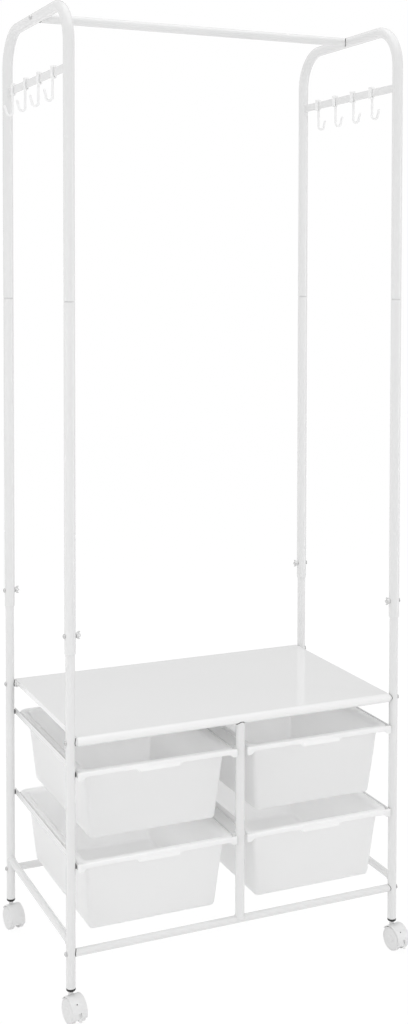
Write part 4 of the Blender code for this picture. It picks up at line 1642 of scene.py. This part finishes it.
@dataclass
class CasterSet:
    """Twin-wheel casters: sockets, hoods with stems, wheels and the front pair's brake levers."""

    plan: Plan = PLAN
    wheel_r: float = 0.021
    axle_z: float = 0.020741
    wheel_w: float = 0.0085
    web_t: float = 0.009
    wheel_gap: float = 0.0005
    wheel_sides: int = 64
    axle_r: float = 0.0025
    trail: float = 0.012
    swivel_degrees: float = 8.0
    hood_inner: float = 0.022
    hood_outer: float = 0.0238
    hood_front: float = -18.0
    hood_back: float = 145.0
    hood_steps: int = 30
    hood_edge: float = 0.0008
    hood_degrees: float = 40.0
    hub_share: float = 0.4
    web_inset: float = 0.0009
    web_back: float = 0.0018
    web_drop: float = 0.0138
    axle_bore: float = 0.02
    tread_ease: float = 0.00026
    tread_edge: float = 0.0012
    tread_steps: int = 4
    groove: tuple[tuple[float, float], ...] = ((0.90, 0.0), (0.885, 0.0005), (0.87, 0.0), (0.84, 0.0))
    dish: tuple[tuple[float, float], ...] = ((0.30, 0.0008), (0.26, 0.0002), (0.2, 0.0), (0.0, 0.0))
    stem_r: float = 0.0035
    stem_edge: float = 0.0006
    neck_r: float = 0.0044
    neck_tip_r: float = 0.0040
    neck_gap: float = 0.0008
    neck_edge: float = 0.0004
    stem_in: float = 0.012
    stem_seat: float = 0.041294
    socket_depth: float = 0.022
    socket_rim: float = 0.002
    socket_taper: float = 0.0024
    socket_tip_r: float = 0.005
    socket_edge: float = 0.0003
    socket_steps: int = 5
    post_bore_r: float = 0.0068
    lever_inset: float = 0.002
    lever_degrees: float = 5.0
    lever_dip: float = 68.0
    lever_w: float = 0.005
    lever_t: float = 0.0024
    lever_length: float = 0.0145
    lever_hub_r: float = 0.0022
    lever_pin_r: float = 0.0011
    lever_gap: float = 0.0001
    lever_edge: float = 0.0007
    dimple_r: float = 0.0008
    dimple_share: float = 0.8
    mark_r: float = 0.0013
    mark_depth: float = 0.008
    mark_x: float = -0.003
    mark_degrees: float = 44.0

    def build(self) -> None:
        """Builds each kind of piece once and places the copies."""
        plan = self.plan
        socket, wheels, lever = self.socket(), self.wheels(), self.lever()
        hoods = {Depth.FRONT: self.hood(braked=True), Depth.REAR: self.hood(braked=False)}
        stem = self.stem()
        swivel = Matrix.Rotation(math.radians(self.swivel_degrees), 4, "Z")
        for side, depth in CORNERS:
            word = corner_word(side, depth)
            x, y = plan.x(side), plan.y(depth)
            cup = Bench.copy(socket, f"{word}_foot_cup", at(x, y, plan.post_foot))
            fit(cup, BASE_BODY, BLACK_PLASTIC_AND_GAP_SHADE, f"{word}_caster_socket")
            body = f"{word}_caster_hood"
            place = at(x, y, 0) @ swivel
            fit(Bench.copy(hoods[depth], f"{word}_hood", place), body, CASTER_PLASTIC, body)
            fit(Bench.copy(stem, f"{word}_stem", place), body, ZINC_STEEL)
            roll = f"{word}_caster_wheels"
            fit(Bench.copy(wheels, f"{word}_wheels", place), roll, WHEEL_PLASTIC, roll)
            if depth is Depth.FRONT:
                brake = f"{word}_brake_lever"
                fit(Bench.copy(lever, f"{word}_brake_tab", place), brake, CASTER_PLASTIC, brake)
        Bench.discard(socket, wheels, lever, stem, *hoods.values())

    def pivot(self) -> tuple[float, float]:
        """Place of the lever's pivot, from the swivel axis."""
        return self._round_axle(self.wheel_r - self.lever_inset, self.lever_degrees)

    def socket(self) -> bpy.types.Object:
        """A dark cup below the post's foot, with a neck inside the post.

        Returns:
            The cup, from the post's foot.
        """
        gap, rim, foot = self.plan.gap, self.plan.post_r, -self.plan.gap - self.socket_rim
        bore, neck = self.stem_r + gap, self.post_bore_r - gap
        low = foot - self.socket_taper
        profile = [(bore, self.socket_depth), (neck, self.socket_depth), (neck, -gap)]
        profile += [(rim - self.socket_edge, -gap), (rim, -gap - self.socket_edge), (rim, foot)]
        for step in range(1, self.socket_steps):
            turn = math.pi / 2 * step / self.socket_steps
            radius = self.socket_tip_r + (rim - self.socket_tip_r) * math.cos(turn)
            profile.append((radius, foot - self.socket_taper * math.sin(turn)))
        profile += [(self.socket_tip_r, low), (bore, low), (bore, self.socket_depth)]
        return Bench.lathe("socket_pattern", profile)

    def stem(self) -> bpy.types.Object:
        """The steel stem, from the hood into the socket.

        Returns:
            The stem.
        """
        low, edge = self.stem_seat - self.stem_in, self.stem_edge
        top = self.plan.post_foot + self.socket_depth - self.plan.gap
        profile = [(0.0, low), (self.stem_r, low), (self.stem_r, top - edge)]
        profile += [(self.stem_r - edge, top), (0.0, top)]
        return Bench.lathe("stem_pattern", profile, SMALL_SIDES)

    def neck(self) -> tuple[bpy.types.Object, bpy.types.Object]:
        """The hood's neck below the socket, and the cutting tool of its bore.

        Returns:
            The neck and the tool.
        """
        low, seat, edge = self.stem_seat - self.stem_in, self.stem_seat, self.neck_edge
        top = self.plan.post_foot - self.plan.gap - self.socket_rim - self.socket_taper - self.neck_gap
        profile = [(0.0, low), (self.neck_r, low), (self.neck_r, seat + edge), (self.neck_tip_r, top - edge)]
        profile += [(self.neck_tip_r - edge, top), (0.0, top)]
        middle = (0, 0, (low + top) / 2)
        bore = Bench.cylinder("bore", Axis.Z, middle, self.stem_r + HAIR, top - low + 2 * edge)
        return Bench.lathe("neck", profile, SMALL_SIDES), bore

    def _round_axle(self, radius: float, degrees: float) -> tuple[float, float]:
        """A place on a circle round the axle, with angles from straight ahead and up."""
        turn = math.radians(degrees)
        return (-self.trail - radius * math.cos(turn), self.axle_z + radius * math.sin(turn))

    def hood(self, braked: bool) -> bpy.types.Object:
        """A shell over both wheels with a web between them.

        Args:
            braked: whether it carries a brake lever.

        Returns:
            The hood.
        """
        half = self.web_t / 2 + self.wheel_gap + self.wheel_w
        steps, span = self.hood_steps, self.hood_back - self.hood_front
        turns = [self.hood_front + span * step / steps for step in range(steps + 1)]
        ring = [self._round_axle(self.hood_outer, turn) for turn in turns]
        ring += [self._round_axle(self.hood_inner, turn) for turn in turns[::-1]]
        item = Bench.outline_slab("hood_pattern", [(-half, y, z) for y, z in ring], (2 * half, 0, 0))
        Bench.soften(item, self.hood_edge, degrees=self.hood_degrees)
        hub = self.wheel_r * self.hub_share
        web = [self._round_axle(self.hood_outer - self.web_inset, turn) for turn in turns]
        web.append((self.neck_r + self.web_back, self.stem_seat - self.web_drop))
        web += [(-self.trail + hub, self.axle_z - hub), (-self.trail - hub, self.axle_z - hub)]
        thick = self.web_t / 2
        core = Bench.outline_slab("core", [(-thick, y, z) for y, z in web], (self.web_t, 0, 0))
        Bench.combine(item, core, Joining.WELD)
        gap = self.plan.gap
        axle = (0, -self.trail, self.axle_z)
        bore = Bench.cylinder("bore", Axis.X, axle, self.axle_r + gap, self.axle_bore)
        Bench.combine(item, bore, Joining.CUT)
        neck, well = self.neck()
        Bench.combine(item, neck, Joining.WELD)
        Bench.combine(item, well, Joining.CUT)
        if braked:
            self._fit_for_lever(item)
        return item

    def _fit_for_lever(self, hood: bpy.types.Object) -> None:
        """Cuts a hood's round hole, the notch of its lever and the holes of the lever's trunnions.

        Args:
            hood: the hood, which is changed.
        """
        gap, (y, z) = self.plan.gap, self.pivot()
        middle, length = (self.mark_x, -self.hood_outer, 0), 2 * self.mark_depth
        mark = Bench.cylinder("mark", Axis.Y, middle, self.mark_r, length)
        lift = Matrix.Rotation(-math.radians(self.mark_degrees), 4, "X")
        Bench.place(mark, at(0, -self.trail, self.axle_z) @ lift)
        room, width = self.lever_hub_r + gap, self.lever_w / 2 + self.lever_gap
        low = (-width, -self.trail - self.hood_outer - self.lever_t, 0)
        notch = Bench.slab("notch", low, (width, y + room, z + room))
        pin = Bench.cylinder("pin", Axis.X, (0, y, z), self.lever_pin_r + gap, 2 * self.web_t)
        for tool in (mark, notch, pin):
            Bench.combine(hood, tool, Joining.CUT)

    def wheels(self) -> bpy.types.Object:
        """Two wheels with dished discs on one axle.

        Returns:
            The wheels.
        """
        near = self.web_t / 2 + self.wheel_gap
        far = near + self.wheel_w
        radius, edge = self.wheel_r - self.tread_ease, self.tread_edge
        profile = [(0.0, -HAIR), (self.axle_r, -HAIR), (self.axle_r, near)]
        profile += arc((radius - edge, near + edge), edge, -90, 0, self.tread_steps)
        profile += arc((radius - edge, far - edge), edge, 0, 90, self.tread_steps)
        profile += [(radius * share, far - deep) for share, deep in self.groove + self.dish]
        item = Bench.lathe("wheels_pattern", profile, self.wheel_sides)
        Bench.place(item, Axis.X.turn())
        other = Bench.copy(item, "other_wheel", Matrix.Rotation(math.pi, 4, "Z"))
        Bench.combine(item, other, Joining.WELD)
        Bench.place(item, at(0, -self.trail, self.axle_z))
        return item

    def lever(self) -> bpy.types.Object:
        """A brake tab with a dimple, on a hub with two trunnions.

        Returns:
            The lever.
        """
        y, z = self.pivot()
        tip, half = self.web_t / 2 - self.plan.gap, self.lever_w / 2
        pin, hub = self.lever_pin_r, self.lever_hub_r
        profile = [(0.0, -tip), (pin, -tip), (pin, -half), (hub, -half)]
        profile += [(radius, -height) for radius, height in profile[::-1]]
        item = Bench.lathe("lever_pattern", profile, SMALL_SIDES)
        Bench.place(item, Axis.X.turn())
        length, face = self.lever_length, self.lever_t / 2
        tab = Bench.slab("tab", (-half, -length, -face), (half, 0, face), self.lever_edge)
        middle, deep = (0, -length / 2, face), self.lever_t * self.dimple_share
        dimple = Bench.cylinder("dimple", Axis.Z, middle, self.dimple_r, deep)
        Bench.combine(tab, dimple, Joining.CUT)
        Bench.place(tab, Matrix.Rotation(math.radians(self.lever_dip), 4, "X"))
        Bench.combine(item, tab, Joining.WELD)
        Bench.place(item, at(0, y, z))
        return item


@dataclass(frozen=True)
class Lamp:
    """A soft lamp: its place, its width and height, its watts, and whether gloss mirrors it."""

    name: str
    place: tuple[float, float, float]
    size: tuple[float, float]
    power: float
    mirrored: bool


LAMPS = (
    Lamp("front_light", (-1.03, -2.36, 1.24), (1.2, 0.16), 6.0, False),
    Lamp("top_light", (0.2, -0.3, 3.4), (2.2, 2.2), 15.0, True),
    Lamp("rear_light", (0.3, 2.8, 0.9), (3.0, 1.6), 14.5, False),
    Lamp("left_light", (-2.4, -0.7, 1.0), (1.6, 0.4), 8.5, False),
    Lamp("right_light", (2.3, -1.6, 0.8), (0.5, 2.0), 10.0, True),
)


@dataclass
class Studio:
    """Plain floor, soft light and the camera of the photograph."""

    eye: tuple[float, float, float] = (-1.0177, -2.3080, 1.2365)
    yaw: float = 0.4166
    pitch: float = 0.0402
    roll: float = 0.0015
    focal_px: float = 1378.8
    centre_y_px: float = 329.74
    sensor: float = 36.0
    far_clip: float = 50.0
    aim: tuple[float, float, float] = (0.0, 0.0, 0.7)
    sky: float = 0.70
    floor_size: float = 16.0
    floor_grey: float = 0.87
    floor_rough: float = 0.9
    floor_glow: float = 0.9
    floor_white: float = 1.04
    bounces: int = 24
    card_tone: float = 0.6
    card_rise: float = 0.31
    card_inner: float = 14.0
    card_outer: float = 24.0

    def build(self) -> None:
        """Builds the floor, the light and the camera."""
        self.floor()
        self.world()
        for lamp in LAMPS:
            self.hang(lamp)
        self.camera()
        scene = bpy.context.scene
        scene.view_settings.view_transform = "Standard"
        scene.cycles.diffuse_bounces = self.bounces
        scene.cycles.max_bounces = self.bounces

    @staticmethod
    def _seen(tree: bpy.types.NodeTree) -> bpy.types.NodeSocket:
        """A mask of rays that look at the backdrop: from the camera, or off gloss and through glass.

        Args:
            tree: tree that gets the mask.

        Returns:
            The mask, 1 for such rays.
        """
        path = tree.nodes.new("ShaderNodeLightPath")
        mask = path.outputs["Is Camera Ray"]
        for other in ("Is Glossy Ray", "Is Transmission Ray"):
            mask = math_node(tree, "MAXIMUM", mask, path.outputs[other])
        return mask

    def floor(self) -> None:
        """A pale floor that looks white and keeps the rack's shadow."""
        bpy.ops.object.select_all(action="DESELECT")
        bpy.ops.mesh.primitive_plane_add(size=self.floor_size, location=(0, 0, 0))
        item = Bench.named("studio_floor")
        material = bpy.data.materials.new("floor_paper")
        material.use_nodes = True
        tree = material.node_tree
        shader = tree.nodes["Principled BSDF"]
        shader.inputs["Base Color"].default_value = (*grey(self.floor_grey), 1.0)
        shader.inputs["Roughness"].default_value = self.floor_rough
        glow = tree.nodes.new("ShaderNodeEmission")
        glow.inputs["Strength"].default_value = self.floor_white
        share = math_node(tree, "MULTIPLY", self._seen(tree), self.floor_glow)
        self._blend(tree, share, shader, glow, "Material Output")
        item.data.materials.append(material)

    @staticmethod
    def _blend(
        tree: bpy.types.NodeTree,
        share: bpy.types.NodeSocket,
        plain: bpy.types.Node,
        seen: bpy.types.Node,
        output: str,
    ) -> None:
        """Blends two shaders into an output.

        Args:
            tree: tree that holds them.
            share: how much of the second shader is taken.
            plain: shader that lights the rack.
            seen: shader that is looked at.
            output: name of the output node.
        """
        mix = tree.nodes.new("ShaderNodeMixShader")
        tree.links.new(share, mix.inputs["Fac"])
        tree.links.new(plain.outputs[0], mix.inputs[1])
        tree.links.new(seen.outputs[0], mix.inputs[2])
        tree.links.new(mix.outputs[0], tree.nodes[output].inputs["Surface"])

    def world(self) -> None:
        """Soft light from all round, which looks white to the camera."""
        world = bpy.data.worlds.new("studio")
        bpy.context.scene.world = world
        world.use_nodes = True
        tree = world.node_tree
        light = tree.nodes["Background"]
        light.inputs["Color"].default_value = (1, 1, 1, 1)
        light.inputs["Strength"].default_value = self.sky
        white = tree.nodes.new("ShaderNodeBackground")
        white.inputs["Color"].default_value = (1, 1, 1, 1)
        tree.links.new(self._surroundings(tree), white.inputs["Strength"])
        self._blend(tree, self._seen(tree), light, white, "World Output")

    def _surroundings(self, tree: bpy.types.NodeTree) -> bpy.types.NodeSocket:
        """Tone that is seen all round: white, with a grey card behind the rack for the shelf to mirror.

        Args:
            tree: tree of the world.

        Returns:
            The tone.
        """
        facing = tree.nodes.new("ShaderNodeVectorMath")
        facing.operation = "DOT_PRODUCT"
        tree.links.new(tree.nodes.new("ShaderNodeTexCoord").outputs["Generated"], facing.inputs[0])
        card = Vector((math.sin(self.yaw), math.cos(self.yaw), self.card_rise))
        facing.inputs[1].default_value = card.normalized()
        fade = tree.nodes.new("ShaderNodeMapRange")
        fade.inputs["From Min"].default_value = math.cos(math.radians(self.card_outer))
        fade.inputs["From Max"].default_value = math.cos(math.radians(self.card_inner))
        fade.inputs["To Min"].default_value = 1.0
        fade.inputs["To Max"].default_value = self.card_tone
        tree.links.new(facing.outputs["Value"], fade.inputs["Value"])
        camera_ray = tree.nodes.new("ShaderNodeLightPath").outputs["Is Camera Ray"]
        return math_node(tree, "MAXIMUM", camera_ray, fade.outputs["Result"])

    def hang(self, lamp: Lamp) -> None:
        """Hangs a lamp so that it faces the rack's middle.

        Args:
            lamp: the lamp.
        """
        data = bpy.data.lights.new(lamp.name, "AREA")
        data.shape = "RECTANGLE"
        data.size, data.size_y = lamp.size
        data.energy = lamp.power
        item = bpy.data.objects.new(lamp.name, data)
        bpy.context.scene.collection.objects.link(item)
        item.location = lamp.place
        aim = Vector(self.aim) - Vector(lamp.place)
        item.rotation_euler = aim.to_track_quat("-Z", "Y").to_euler()
        item.visible_glossy = lamp.mirrored

    def camera(self) -> None:
        """The camera of the photograph, with its frame shifted down from the lens axis."""
        data = bpy.data.cameras.new("photo_camera")
        item = bpy.data.objects.new("photo_camera", data)
        bpy.context.scene.collection.objects.link(item)
        right = Vector((math.cos(self.yaw), -math.sin(self.yaw), 0))
        level = Vector((math.sin(self.yaw), math.cos(self.yaw), 0))
        up = Vector((0, 0, 1))
        ahead = level * math.cos(self.pitch) - up * math.sin(self.pitch)
        above = up * math.cos(self.pitch) + level * math.sin(self.pitch)
        across = right * math.cos(self.roll) + above * math.sin(self.roll)
        above = above * math.cos(self.roll) - right * math.sin(self.roll)
        turn = Matrix((across, above, -ahead)).transposed().to_4x4()
        item.matrix_world = Matrix.Translation(self.eye) @ turn
        height = PHOTO_SIZE[1]
        data.sensor_fit = "VERTICAL"
        data.sensor_height = self.sensor
        data.lens = self.focal_px / height * self.sensor
        data.shift_y = (self.centre_y_px - height / 2) / height
        data.clip_end = self.far_clip
        bpy.context.scene.camera = item


def main() -> None:
    """Builds all sub-assemblies in order."""
    logging.basicConfig(level=logging.INFO, format="%(name)s: %(message)s")
    kinds = (UpperFrame, LowerCart, ShelfSheet, BinSet, HookSet, Fasteners, CasterSet, Studio)
    for kind in kinds:
        LOG.info("building %s", kind.__name__)
        kind().build()


if __name__ == "__main__":
    main()
